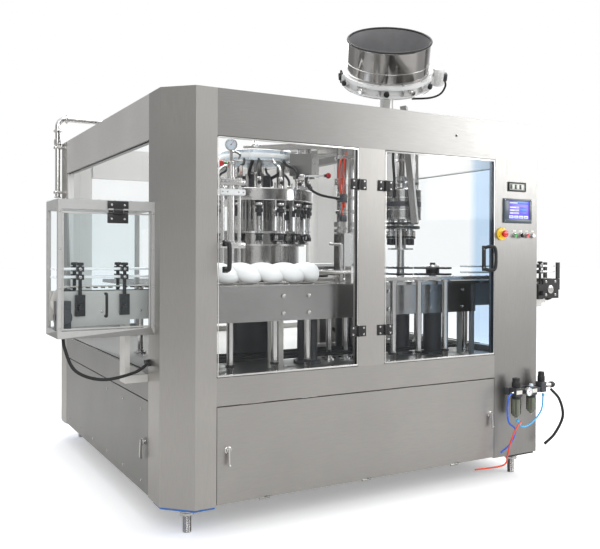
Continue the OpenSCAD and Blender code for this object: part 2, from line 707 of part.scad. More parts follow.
module infeed_star() color([0.15, 0.15, 0.16]) in_cabinet()
    star_wheel(infeed_c, infeed_n, infeed_phase, infeed_gear_phase, 3);
module transfer_star() color([0.15, 0.15, 0.16]) in_cabinet()
    star_wheel(transfer_c, transfer_n, transfer_phase, transfer_gear_phase, 7);
module exit_star() color([0.15, 0.15, 0.16]) in_cabinet()
    star_wheel(exit_c, exit_n, exit_phase, exit_gear_phase, 3);

module motor_pinion() color([0.55, 0.55, 0.56]) in_cabinet() at(pinion_c) {
    rod_z([0, 0, 245], pinion_shaft_r, gear_z[1] - 245);
    gear(pinion_n, gear_m, pinion_phase, gear_z, pinion_shaft_r - 1);
}

// Timing screw: one bottle pitch per turn
module timing_screw() in_cabinet() {
    length = screw_x[1] - screw_x[0];
    color("white") translate([screw_x[0], screw_y, screw_z]) rotate([0, 90, 0])
        linear_extrude(length, twist = -360 * length / screw_pitch, slices = 50, $fn = 24)
            translate([9, 0]) circle(r = 50);
    color(polished) {
        rod_x([screw_x[1], screw_y, screw_z], screw_shaft_r, 1256 - screw_x[1]);
        rod_x([266, screw_y, screw_z], screw_shaft_r, screw_x[0] - 266);
    }
}

// ---------- capper ----------

// Fixed housing on a column under the roof, with the sun gear of the heads
module capper_housing() color(polished) in_cabinet() at(capper_c) {
    difference() {
        rod_z([0, 0, 1500], 135, 197);
        rod_z([0, 0, 1499], 130, 193);
    }
    rod_z([0, 0, 1690], 27, beam_z[1] - 1690);
    rod_z([0, 0, 1697], 60, 14);
    gear(sun_n, head_m, 0, head_gear_z, 34);
    ring(46, 34, [head_gear_z[1] - 1, 1693]);
}

// Rotating turret: shaft with its gear, star plates and the plates that carry the spindles
module capper_turret() color([0.5, 0.5, 0.51]) in_cabinet() at(capper_c) {
    rod_z([0, 0, shaft_z], shaft_r, 1500 - shaft_z);
    gear(teeth(head_n), gear_m, capper_gear_phase, gear_z, shaft_r - 1);
    for (z = star_z) star_plate(head_n, capper_phase, z, bottle_pocket, 0);
    star_plate(head_n, capper_phase, [1300, 1310], neck_pocket, 0);
    difference() {
        union() {
            rod_z([0, 0, 1440], 128, 18);
            rod_z([0, 0, 1472], 118, 10);
            rod_z([0, 0, 1310], 36, 162);
        }
        for (i = [0:head_n - 1]) rotate(capper_phase + i * 360 / head_n)
            rod_z([wheel_r(head_n), 0, 1430], 14 + fit, 60);
        for (i = [0:head_n - 1]) rotate(capper_phase + i * 360 / head_n)
            rod_z([wheel_r(head_n), 0, 1300], 35, 138);
    }
}

// Capping head: chuck, clutch body and spindle with its planet gear
module capping_head(i) color([0.8, 0.8, 0.82]) in_cabinet() at(capper_c) {
    turn = capper_phase + i * 360 / head_n;
    rotate(turn) translate([wheel_r(head_n), 0, 0]) {
        difference() {
            rod_z([0, 0, 1332], 22, 42);
            rod_z([0, 0, 1331], 15, 20);
        }
        rod_z([0, 0, 1374], 32, 54);
        rod_z([0, 0, 1428], 14, 112);
        rod_z([0, 0, 1459], 22, 12);
        rotate(-turn) gear(planet_n, head_m, mesh(0, sun_n, planet_n, turn), head_gear_z, 13);
    }
}
module capping_head_1() capping_head(0);
module capping_head_2() capping_head(1);
module capping_head_3() capping_head(2);
module capping_head_4() capping_head(3);

// Square chute that brings the caps down to the turret
module cap_chute() color(polished) in_cabinet() {
    top = [1768, 470, 2235];
    bottom = [1818, 410, 1470];
    d = top - bottom;
    tilt = [0, acos(d.z / norm(d)), atan2(d.y, d.x)];
    difference() {
        union() {
            translate(bottom) rotate(tilt) translate([-20, -26, 0]) cube([40, 52, norm(d)]);
            box([1713, 390, beam_z[1] + 12], [1837, 555, beam_z[1] + 18]);
        }
        translate(bottom) rotate(tilt) translate([-16, -22, -1]) cube([32, 44, norm(d) + 2]);
    }
}

// ---------- cap sorter ----------

module in_sorter() in_cabinet() translate(sorter_c) rotate([0, 0, sorter_turn])
    rotate([sorter_lean, 0, 0]) children();

module sorter_bowl() color(polished) in_sorter() {
    ring(sorter_r, sorter_r - 4, [0, sorter_h]);
    ring(sorter_r + 5, sorter_r - 1, [sorter_h - 10, sorter_h]);
    ring(sorter_r + 5, sorter_r - 1, [0, 8]);
}

// Bolted ring under the drum, its floor with the disc's bearing, the drive and the stand
module sorter_stand() color([0.6, 0.6, 0.6]) {
    in_sorter() {
        ring(sorter_ring_r, 242, [-26, 0]);
        ring(sorter_ring_r - 22, 242, [-sorter_ring_t, -26]);
        ring(sorter_ring_r, 240, [-sorter_ring_t - 8, -sorter_ring_t + 8]);
        ring(242, 20 + fit, [-sorter_ring_t, -sorter_ring_t + 10]);
        ring(60, 20 + fit, [-sorter_ring_t - 60, -sorter_ring_t]);
        for (i = [0:11]) rotate(i * 30 + 15) rod_z([sorter_ring_r - 10, 0, -sorter_ring_t + 6], 7, 62);
        for (i = [0:4]) rotate(200 + i * 32) translate([sorter_ring_r - 24, 0, -46])
            rotate([0, 90, 0]) cylinder(r = 15, h = 34);
        translate([sorter_ring_r + 44, 0, -95]) cylinder(r = 40, h = 118);
        box([sorter_ring_r - 30, -26, -78], [sorter_ring_r + 30, 26, -30]);
        translate([-sorter_ring_r - 8, -40, -70]) cube([30, 40, 60]);
    }
    in_cabinet() {
        difference() {
            rod_z([1825, 739, beam_z[1] + 12], 45, 345);
            translate(sorter_c) rotate([0, 0, sorter_turn]) rotate([sorter_lean, 0, 0])
                rod_z([0, 0, -sorter_ring_t - 60.5], 30, 200);
        }
        rod_z([1825, 739, beam_z[1] + 12], 85, 14);
    }
}

module sorter_disc() color([0.3, 0.3, 0.3]) in_sorter() {
    rod_z([0, 0, -sorter_ring_t - 55], 20, 100);
    rod_z([0, 0, -36], 236, 10);
    rod_z([0, 0, -26], 120, 8);
    translate([0, 0, -18]) cylinder(r1 = 90, r2 = 24, h = 60);
    for (i = [0:11]) rotate(i * 30) box([150, -3, -27], [230, 3, -12]);
}

// ---------- product pipe ----------

pipe_r = 19;
pipe_at = [-34, 2400];
pipe_top = 2290;

// Product supply: riser outside the left face, over the roof line and down into the distributor
module product_pipe() color(polished) in_cabinet() {
    b = 60;
    at(pipe_at) {
        rod_z([0, 0, 1690], pipe_r, pipe_top - b - 1690);
        rod_z([0, 0, 1690], 26, 10);
        rod_z([0, 0, 2178], 30, 34);
        for (z = [1720, 2060]) difference() {
            box([-26, -26, z], [34, 26, z + 20]);
            rod_z([0, 0, z - 1], pipe_r - 1, 22);
        }
        translate([b, 0, pipe_top - b]) mirror([1, 0, 0]) bend(b, pipe_r);
    }
    rod_x([pipe_at.x + b, pipe_at.y, pipe_top], pipe_r, filler_c.x - pipe_at.x - b);
    rod_x([pipe_at.x + b, pipe_at.y, pipe_top], 26, 12);
    translate([filler_c.x, pipe_at.y, pipe_top]) sphere(r = pipe_r + 2);
    rod_y([filler_c.x, filler_c.y, pipe_top], pipe_r, pipe_at.y - filler_c.y);
    translate([filler_c.x, filler_c.y, pipe_top]) sphere(r = pipe_r + 2);
    rod_z([filler_c.x, filler_c.y, 1990], pipe_r, pipe_top - 1990);
    rod_z([filler_c.x, filler_c.y, 1975], 34, 17);
}

// ---------- doors, panel and latches ----------

// Knuckles of a hinge on its pin line; the fixed leaf takes the outer two
module knuckles(x, z, list) for (k = list) rod_z([x, pin_y, z + k[0]], 6, k[1] - k[0]);

module hinge_leaves() color(black) in_cabinet() {
    for (z = [hinge_low, hinge_high]) {
        for (side = [[left_pin_x, 1], [right_pin_x, -1]]) {
            x = side[0];
            edge = [x + side[1] * 7, x + side[1] * 52];
            neck = [x, x + side[1] * 8];
            box([min(edge), -5, z - 30], [max(edge), 0, z + 30]);
            for (k = [-30, 12]) box([min(neck), -8, z + k], [max(neck), -2, z + k + 18]);
            knuckles(x, z, [[-30, -12], [12, 30]]);
            rod_z([x, pin_y, z - 13], 2.5, 26);
            for (dz = [-18, 18]) rod_y([x + side[1] * 34, -8, z + dz], 5, 4);
        }
    }
}

module door_pane(x) box([x[0], 0, door_z[0]], [x[1], pane_t, door_z[1]]);

module left_door() color(clear) in_cabinet() door_pane([post_x + 4, left_pin_x - 2]);
module right_door() color(clear) in_cabinet() door_pane([right_pin_x + 2, control_x - 4]);

// Moving leaf of each hinge, on the outside of the pane
module door_leaves(x, side) for (z = [hinge_low, hinge_high]) {
    edge = [x - side * 7, x - side * 54];
    box([min(edge), -5, z - 30], [max(edge), 0, z + 30]);
    difference() {
        union() {
            knuckles(x, z, [[-11.5, 11.5]]);
            box([min(x, x - side * 8), -8, z - 11.5], [max(x, x - side * 8), -2, z + 11.5]);
        }
        rod_z([x, pin_y, z - 14], 2.5 + fit, 28);
    }
    for (dz = [-18, 18]) rod_y([x - side * 36, -8, z + dz], 5, 4);
}

module left_door_fittings() color(black) in_cabinet() {
    door_leaves(left_pin_x, 1);
    box([281, -62, 1176], [307, -44, 1335]);
    for (z = [1176, 1309]) box([281, -45, z], [307, 0, z + 26]);
}

module right_door_fittings() color(black) in_cabinet() {
    door_leaves(right_pin_x, -1);
    box([2012, -12, 1169], [2036, 0, 1324]);
    box([2062, -66, 1169], [2088, -44, 1324]);
    for (z = [1169, 1302]) hull() {
        box([2012, -12, z], [2036, -1, z + 22]);
        box([2062, -66, z], [2088, -44, z + 22]);
    }
}

latch_at = [313, control_x - 36];
latch_z = 278;

// Lower front cover: a folded sheet, notched round the fixed knuckles of its bottom hinges
module front_panel() color(steel) in_cabinet() difference() {
    union() {
        cover([post_x + 3, 0, 8], [control_x - 3, 25, cover_h - 3], 1);
        for (x = panel_hinge_x) rod_x([x - 30, 0, panel_pin_z], 5, 29.5);
    }
    for (x = latch_at) rod_y([x, -1, latch_z], 11 + fit, 6);
    for (x = panel_hinge_x) {
        rod_x([x - 31, 0, panel_pin_z], 2.5 + fit, 32);
        box([x - 0.5, -1, 7], [x + 31, 26, 14]);
    }
}

// Quarter-turn latch: T grip outside, cam tongue inside
module latch(x) translate([x, 0, latch_z]) {
    rod_y([0, -14, 0], 11, 46);
    rod_y([0, -6, 0], 19, 5.5);
    box([-9, -24, -78], [9, -14, 16]);
    box([-11, 26, -34], [11, 31, 12]);
}
module left_latch() color(polished) in_cabinet() latch(latch_at[0]);
module right_latch() color(polished) in_cabinet() latch(latch_at[1]);

// Clear lift-up door of the infeed tunnel
module guard_door() color(clear) in_cabinet() {
    box([guard_x + 20, 222, 897], [-21, 228, 1470]);
    box([-240, 214, 1420], [-140, 222, 1470]);
    difference() {
        union() {
            rod_x([-213.5, 206, 1477], 6, 47);
            box([-213.5, 203, 1462], [-166.5, 216, 1474]);
        }
        rod_x([-216, 206, 1477], 2.5 + fit, 52);
    }
}

// ---------- operator panel ----------

stop_at = [2175, 1400];
button_z = 1392;
button_x = [2285, 2338, 2391, 2444];
button_r = 11;

module operator_panel() color([0.15, 0.17, 0.2]) in_cabinet() {
    difference() {
        box([2187, -10, 1469], [2434, 0, 1624]);
        box([2231, -11, 1495], [2408, -6, 1610]);
    }
    box([2232, -8, 1496], [2407, -6, 1609]);
    difference() {
        box([2230, -7, 1670], [2381, 0, 1729]);
        box([2238, -8, 1678], [2373, -4, 1721]);
    }
    difference() {
        rod_y([stop_at.x, -12, stop_at.y], 40, 12);
        rod_y([stop_at.x, -13, stop_at.y], button_r + fit, 12);
    }
    for (x = button_x) difference() {
        rod_y([x, -14, button_z], 15, 14);
        rod_y([x, -15, button_z], button_r + fit, 14);
    }
}

module emergency_button() color("red") in_cabinet() {
    rod_y([stop_at.x, -32, stop_at.y], button_r, 23);
    rod_y([stop_at.x, -40, stop_at.y], 22, 12);
    rod_y([stop_at.x, -44, stop_at.y], 18, 5);
}
module push_button(x) in_cabinet() rod_y([x, -19, button_z], button_r, 13);
module start_button() color("green") push_button(button_x[0]);
module stop_button() color("red") push_button(button_x[2]);
module jog_button() color("white") push_button(button_x[3]);
module mode_selector() color(black) in_cabinet() {
    rod_y([button_x[1], -18, button_z], button_r, 14);
    box([button_x[1] - 5, -28, button_z - 14], [button_x[1] + 5, -17, button_z + 14]);
}

// ---------- air service ----------

air_x = [2243, 2373, 2462];
air_y = -64;

module air_unit() color([0.45, 0.46, 0.45]) in_cabinet() {
    box([2205, -36, 392], [2484, 0, 436]);
    for (i = [0, 1]) {
        box([air_x[i] - 28, air_y - 28, 386], [air_x[i] + 28, -36, 440]);
        rod_z([air_x[i], air_y, i == 0 ? 268 : 284], 27, i == 0 ? 118 : 102);
        translate([air_x[i], air_y, i == 0 ? 254 : 270]) cylinder(r1 = 12, r2 = 27, h = 14);
    }
    box([2271, air_y - 18, 398], [2345, -36, 430]);
    box([2401, air_y - 18, 398], [2440, -36, 430]);
    box([2440, air_y - 24, 396], [2486, -36, 462]);
    rod_z([air_x[1], air_y, 440], 14, 16);
    box([2486, air_y - 14, 418], [2578, air_y + 14, 452]);
    rod_z([air_x[0], air_y, 440], 12, 10);
    rod_z([air_x[2], air_y, 462], 12, 10);
}

module turn_knob(x, z, r, h) difference() {
    union() {
        rod_z([x, air_y, z], r, h);
        for (i = [0:11]) translate([x, air_y, z]) rotate(i * 30) box([r - 3, -2, 4], [r + 1.5, 2, h - 4]);
    }
    rod_z([x, air_y, z - 1], 12 + fit, 10);
}
module regulator_knob() color(black) in_cabinet() turn_knob(air_x[0], 441, 25, 60);
module valve_knob() color(black) in_cabinet() turn_knob(air_x[2], 463, 22, 62);

// Dial gauges: one on the air unit, one on the guide post
module gauges() color([0.9, 0.92, 0.95]) in_cabinet() {
    rod_y([2318, air_y - 42, 414], 26, 20);
    rod_y([2318, air_y - 22, 414], 8, 4);
    at(guide_post_c) translate([0, 0, 1891]) rotate([0, 0, -25]) {
        rod_y([0, -16, 0], 35, 26);
        rod_z([0, -3, -35], 8, 4);
    }
}

// Plastic air tubes and the supply hose, in a loose bundle in front of the post
module air_tubes() color([0.1, 0.3, 0.75]) in_cabinet() {
    soft_tube([[2205, -84, 412], [2152, -95, 395], [2134, -100, 330], [2152, -95, 240], [2215, -88, 185],
        [2190, -70, 100], [2136, -40, 40]], 6);
    soft_tube([[2215, -105, 246], [2250, -110, 205], [2330, -110, 225], [2420, -105, 290], [2440, -100, 380]], 6);
    soft_tube([[2190, -122, 205], [2146, -115, 120], [2134, -102, 40], [2130, -95, -6], [2085, -82, -26],
        [1925, -40, -34]], 5);
    soft_tube([[2520, -90, 415], [2590, -100, 340], [2620, -100, 230], [2570, -80, 120], [2500, -60, 60]], 9);
    soft_tube([[-440, 290, 880], [-430, 285, 800], [-380, 270, 690], [-250, 262, 640], [-90, 275, 660],
        [-8, 290, 700]], 8);
}

base_frame();
levelling_feet();
corner_posts();
control_post();
roof_frame();
side_panels();
clear_windows();
bed_plate();
deck_columns();
deck_table();
deck_skirt();
bearing_housings();
main_motor();
conveyor_frames();
conveyor_chains();
infeed_guard();
guide_rails();
rail_clamps();
filler_bridge();
product_pipe();
capper_housing();
cap_chute();
sorter_bowl();
sorter_stand();
hinge_leaves();
operator_panel();
air_unit();
gauges();
air_tubes();
left_door();
left_door_fittings();
right_door();
right_door_fittings();
front_panel();
left_latch();
right_latch();
filler_turret();
filler_valves();
filler_gear();
infeed_star();
transfer_star();
exit_star();
capper_turret();
capping_head_1();
capping_head_2();
capping_head_3();
capping_head_4();
timing_screw();
motor_pinion();
sorter_disc();
guard_door();
emergency_button();
start_button();
stop_button();
jog_button();
mode_selector();
regulator_knob();
valve_knob();
left_ball_lever();
right_ball_lever();
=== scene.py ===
"""Looks of the rotary filling and capping monobloc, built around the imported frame.

Lengths are millimetres in the cabinet's own frame (origin at its front left lower corner), except
in the material, light and camera sections, which are in metres of the row frame.
"""

import json
from math import acos, atan2, cos, pi, radians, sin

import bmesh
import bpy
from mathutils import Matrix, Vector

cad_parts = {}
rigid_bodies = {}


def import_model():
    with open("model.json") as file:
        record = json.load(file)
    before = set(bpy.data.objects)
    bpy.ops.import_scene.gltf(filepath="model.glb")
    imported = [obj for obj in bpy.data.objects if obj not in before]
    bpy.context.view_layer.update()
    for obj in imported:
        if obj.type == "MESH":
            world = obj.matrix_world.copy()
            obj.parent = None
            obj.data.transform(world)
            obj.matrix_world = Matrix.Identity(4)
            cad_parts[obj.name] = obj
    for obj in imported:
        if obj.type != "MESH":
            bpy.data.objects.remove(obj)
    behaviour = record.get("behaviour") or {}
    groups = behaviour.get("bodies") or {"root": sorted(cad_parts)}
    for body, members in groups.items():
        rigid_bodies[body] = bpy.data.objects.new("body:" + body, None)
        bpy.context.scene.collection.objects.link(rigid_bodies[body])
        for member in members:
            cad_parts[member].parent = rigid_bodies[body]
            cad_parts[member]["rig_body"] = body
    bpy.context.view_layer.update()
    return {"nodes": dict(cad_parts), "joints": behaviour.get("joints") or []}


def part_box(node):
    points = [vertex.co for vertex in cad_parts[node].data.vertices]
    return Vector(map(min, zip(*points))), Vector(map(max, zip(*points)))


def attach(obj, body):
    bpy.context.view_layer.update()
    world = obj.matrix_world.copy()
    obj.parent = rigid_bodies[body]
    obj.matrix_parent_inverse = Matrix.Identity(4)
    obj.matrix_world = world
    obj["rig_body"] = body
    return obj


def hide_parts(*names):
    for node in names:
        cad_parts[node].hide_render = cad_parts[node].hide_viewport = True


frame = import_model()
scene = bpy.context.scene

post_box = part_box("corner_posts")
ORIGIN = post_box[0]
CAB_W = (post_box[1].x - post_box[0].x) * 1000
CAB_D = (post_box[1].y - post_box[0].y) * 1000


def place(point):
    """A point of the cabinet's frame, in metres of the row frame."""
    return ORIGIN + Vector(point) / 1000


def span(node):
    """Lowest and highest corner of a CAD node, in the cabinet's frame."""
    lo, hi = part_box(node)
    return (lo - ORIGIN) * 1000, (hi - ORIGIN) * 1000


def centre(node):
    lo, hi = span(node)
    return (lo + hi) / 2


# ---------- materials ----------


class Nodes:
    """A node tree with short calls for its usual nodes."""

    def __init__(self, owner, output="ShaderNodeOutputMaterial"):
        owner.use_nodes = True
        self.owner = owner
        self.tree = owner.node_tree
        self.tree.nodes.clear()
        self.out = self.tree.nodes.new(output)
        self.coordinates = self.add("ShaderNodeTexCoord")

    def add(self, kind, *numbered, mode=None, **named):
        """Outputs of a new node; inputs come as (number, value), or by name with _ for a space."""
        node = self.tree.nodes.new(kind)
        if mode:
            setattr(node, *mode)
        for key, value in numbered + tuple((key.replace("_", " "), value) for key, value in named.items()):
            if isinstance(value, bpy.types.NodeSocket):
                self.tree.links.new(value, node.inputs[key])
            else:
                node.inputs[key].default_value = value
        return node.outputs

    def noise(self, scale, stretch=(1, 1, 1), detail=4.0):
        mapped = self.add("ShaderNodeMapping", Vector=self.coordinates["Object"], Scale=stretch)[0]
        return self.add("ShaderNodeTexNoise", Vector=mapped, Scale=scale, Detail=detail)[0]

    def between(self, value, low, high, start=0.3, stop=0.7):
        return self.add(
            "ShaderNodeMapRange", Value=value, From_Min=start, From_Max=stop, To_Min=low, To_Max=high
        )[0]

    def mix(self, factor, a, b):
        return self.add("ShaderNodeMix", (0, factor), (6, a), (7, b), mode=("data_type", "RGBA"))[2]

    def cloudy(self, value, colour, vary):
        """The colour, drifting lighter and darker with the value."""
        return self.mix(self.between(value, 0.0, 1.0), shade(colour, 1 - vary), shade(colour, 1 + vary))

    def bump(self, height, strength, distance, edges):
        """Fine relief, with edges rounded by that many metres."""
        bevel = self.tree.nodes.new("ShaderNodeBevel")
        bevel.samples = 3
        bevel.inputs["Radius"].default_value = edges
        return self.add(
            "ShaderNodeBump", Height=height, Strength=strength, Distance=distance, Normal=bevel.outputs[0]
        )[0]

    def principled(self, **inputs):
        return self.finish(self.add("ShaderNodeBsdfPrincipled", **inputs)[0])

    def finish(self, shader):
        self.tree.links.new(shader, self.out.inputs["Surface"])
        return self.owner


def material(name):
    return Nodes(bpy.data.materials.new(name))


def shade(colour, gain):
    return (colour[0] * gain, colour[1] * gain, colour[2] * gain, 1)


def metal(name, colour, rough, stretch=(1, 1, 1), grain=60.0, vary=0.1, metallic=1.0):
    """Ground or polished metal: fine stretched grain, cloudy wear and rounded bright edges."""
    n = material(name)
    lines = n.noise(grain, stretch)
    tone = n.cloudy(n.noise(2.3, detail=3.0), colour, vary)
    return n.principled(
        Base_Color=n.mix(n.between(lines, 0.0, 0.5), tone, shade(colour, 0.86)),
        Metallic=metallic,
        Roughness=n.between(lines, rough - 0.06, rough + 0.06),
        Normal=n.bump(lines, 0.06, 0.0004, 0.0012),
    )


def plastic(name, colour, rough=0.4, grain=900.0, coat=0.0, vary=0.1):
    """Moulded or machined plastic with a fine skin and slight colour drift."""
    n = material(name)
    drift = n.noise(14.0)
    return n.principled(
        Base_Color=n.cloudy(drift, colour, vary),
        Roughness=n.between(drift, rough - 0.07, rough + 0.07),
        Normal=n.bump(n.noise(grain, detail=2.0), 0.12, 0.0002, 0.0006),
        Coat_Weight=coat,
    )


def glass(name, tint, dirt=0.015, gloss=0.35, edge=None):
    """Clear sheet: mostly see-through, with grazing reflections on its near face and a faint film.

    edge is (start, end, colour): the sheet's tint drifts to that colour between two places along X; on the
    right door that drift is a painted reflection of sky.
    """
    n = material(name)
    if edge:
        start, end, colour = edge
        along = n.add("ShaderNodeSeparateXYZ", Vector=n.coordinates["Object"])["X"]
        tint = n.mix(n.between(along, 0.0, 1.0, start, end), tint, colour)
    film = n.between(n.noise(3.0), 0.0, dirt)
    near = n.between(n.add("ShaderNodeNewGeometry")["Backfacing"], gloss, 0.0, 0.0, 1.0)
    fresnel = n.add("ShaderNodeFresnel", IOR=1.4)[0]
    share = n.add("ShaderNodeMath", (0, fresnel), (1, near), (2, film), mode=("operation", "MULTIPLY_ADD"))[0]
    clear = n.add("ShaderNodeBsdfTransparent", Color=tint)[0]
    shine = n.add("ShaderNodeBsdfGlossy", Color=(0.9, 0.95, 1, 1), Roughness=0.04)[0]
    return n.finish(n.add("ShaderNodeMixShader", (0, share), (1, clear), (2, shine))[0])


def glow(name, colour, strength):
    """Lit display area with faint scan lines."""
    n = material(name)
    lines = n.noise(30.0, (1, 1, 80))
    tone = n.mix(n.between(lines, 0.0, 0.35), shade(colour, 1.0), shade(colour, 0.8))
    return n.principled(Base_Color=tone, Roughness=0.25, Emission_Color=tone, Emission_Strength=strength)


EVEN = (1, 1, 1)
RISING = (9, 9, 0.25)
ALONG = (0.25, 9, 9)
DEEP = (9, 0.25, 9)
M = {
    "post": metal("post_steel", (0.48, 0.468, 0.448), 0.36, RISING, 70, 0.05),
    "panel": metal("panel_steel", (0.435, 0.424, 0.406), 0.37, ALONG, 70, 0.05),
    # Left outer face of the fascia: the same steel as the front fascia, painted much lighter, painted light.
    "lit_side_fascia": metal("painted_light_side_fascia_steel", (0.80, 0.785, 0.765), 0.42, DEEP, 60, 0.05),
    "fascia": metal("fascia_steel", (0.33, 0.325, 0.315), 0.37, ALONG, 70, 0.05),
    "frame": metal("frame_steel", (0.33, 0.33, 0.32), 0.42, ALONG, 60, 0.08),
    "control": metal("control_steel", (0.34, 0.334, 0.323), 0.38, RISING, 70, 0.05),
    # Lower cover of the left face: the same steel as the front panel, painted much darker, painted shade.
    "side": metal("painted_shade_side_steel", (0.18, 0.176, 0.17), 0.42, DEEP, 60, 0.06),
    # Matte grey of the sorter disc and its cone; the same grey is also the painted shade on a skin inside the
    # drum wall.
    "matte_and_shade": metal("matte_grey_and_painted_shade", (0.30, 0.30, 0.305), 0.5, EVEN, 20, 0.1, metallic=0.5),
    "guard_frame": metal("guard_paint", (0.44, 0.44, 0.43), 0.42, EVEN, 30, 0.05, metallic=0.4),
    # Inner faces of the back posts and roof fascia: the same steel painted paler, painted light.
    "inner": metal("painted_light_inner_steel", (0.72, 0.71, 0.69), 0.5, RISING, 50, 0.04, metallic=0.35),
    "belt_side": metal("belt_side_steel", (0.60, 0.59, 0.56), 0.4, EVEN, 16, 0.04, metallic=0.6),
    # Right door sheet: beyond a place along X it turns light blue, a painted reflection of sky.
    "reflection_tinted": glass("sky_reflection_sheet", (0.975, 0.985, 0.99, 1), edge=(0.63, 0.69, (0.74, 0.84, 0.94, 1))),
    "polished": metal("polished_steel", (0.72, 0.71, 0.70), 0.15, RISING, 25, 0.05),
    "turned": metal("turned_steel", (0.66, 0.65, 0.64), 0.2, (1, 1, 8), 60, 0.06),
    "drum": metal("drum_steel", (0.40, 0.39, 0.38), 0.13, EVEN, 9, 0.1),
    "plate": metal("plate_steel", (0.52, 0.51, 0.50), 0.22, EVEN, 14, 0.14),
    "skirt": metal("skirt_steel", (0.42, 0.415, 0.41), 0.2, (0.4, 2, 2), 12, 0.12),
    "rail": metal("rail_steel", (0.80, 0.80, 0.78), 0.3, ALONG, 40, 0.04),
    "gear": metal("gear_steel", (0.30, 0.30, 0.30), 0.42, EVEN, 30, 0.2),
    "cast": plastic("cast_enamel", (0.035, 0.037, 0.042), 0.45, 300, 0.2, 0.25),
    "black": plastic("black_plastic", (0.012, 0.012, 0.013), 0.42, 700, 0.0, 0.3),
    "nylon": plastic("black_nylon", (0.022, 0.022, 0.025), 0.36, 500, 0.1, 0.3),
    "rubber": plastic("black_rubber", (0.010, 0.010, 0.011), 0.62, 900, 0.0, 0.3),
    "white": plastic("white_plastic", (0.80, 0.81, 0.81), 0.32, 250, 0.2, 0.03),
    "pale": plastic("pale_enamel", (0.70, 0.70, 0.69), 0.34, 500, 0.2, 0.04),
    "chain": plastic("chain_slat", (0.46, 0.44, 0.40), 0.4, 500, 0.0, 0.08),
    "red": plastic("red_plastic", (0.55, 0.012, 0.014), 0.28, 700, 0.4, 0.08),
    "green": plastic("green_plastic", (0.01, 0.30, 0.05), 0.28, 700, 0.4, 0.08),
    "yellow": plastic("yellow_plastic", (0.80, 0.52, 0.02), 0.35, 700, 0.2, 0.05),
    "bezel": plastic("panel_bezel", (0.055, 0.075, 0.095), 0.34, 900, 0.2, 0.08),
    "cream": plastic("cream_legend", (0.62, 0.60, 0.55), 0.4, 700, 0.1, 0.03),
    "tube_blue": plastic("blue_tube", (0.01, 0.09, 0.50), 0.22, 300, 0.5, 0.08),
    "tube_sky": plastic("sky_tube", (0.06, 0.36, 0.66), 0.22, 300, 0.5, 0.08),
    "tube_red": plastic("red_tube", (0.66, 0.05, 0.012), 0.22, 300, 0.5, 0.08),
    "foot_blue": plastic("foot_blue_paint", (0.006, 0.10, 0.34), 0.32, 200, 0.4, 0.2),
    "bowl": plastic("smoked_bowl", (0.10, 0.11, 0.075), 0.16, 300, 0.8, 0.2),
    "dial": plastic("dial_white", (0.72, 0.80, 0.88), 0.22, 900, 0.6, 0.02),
    "tank": metal("tank_steel", (0.62, 0.72, 0.80), 0.3, EVEN, 20, 0.06, metallic=0.55),
    # Near-black for the recess in the fascia's blanking plug: painted shade.
    "hole": plastic("painted_recess_shade", (0.004, 0.004, 0.004), 0.8, 300),
    "clear": glass("clear_sheet", (0.993, 0.998, 0.998, 1), gloss=0.28),
    "guard": glass("guard_sheet", (0.96, 0.98, 0.985, 1), 0.03),
    "screen": glow("screen_purple", (0.10, 0.06, 0.42), 0.9),
    "screen_pale": glow("screen_pale", (0.42, 0.46, 0.80), 0.9),
    "screen_blue": glow("screen_blue", (0.02, 0.10, 0.55), 0.9),
    "screen_grey": glow("screen_grey", (0.30, 0.31, 0.36), 0.6),
    "lamp": glow("digit_window", (0.30, 0.33, 0.30), 0.25),
}


def dress(node, paint, *rules):
    """Gives a CAD node its finish; a rule (test, paint) repaints the faces whose centre passes its test."""
    mesh = frame["nodes"][node].data
    mesh.materials.clear()
    for name in [paint] + [r[1] for r in rules]:
        mesh.materials.append(M[name])
    for face in mesh.polygons:
        face.material_index = 0
        where = (face.center - ORIGIN) * 1000
        for index, (test, _) in enumerate(rules):
            if test(where):
                face.material_index = index + 1
    mesh.shade_smooth()
    mesh.set_sharp_from_angle(angle=radians(28))


# ---------- shape builder ----------


UP, DOWN = (0, 0, 1), (0, 0, -1)
FRONT, BACK = (0, -1, 0), (0, 1, 0)
LEFT, RIGHT = (-1, 0, 0), (1, 0, 0)


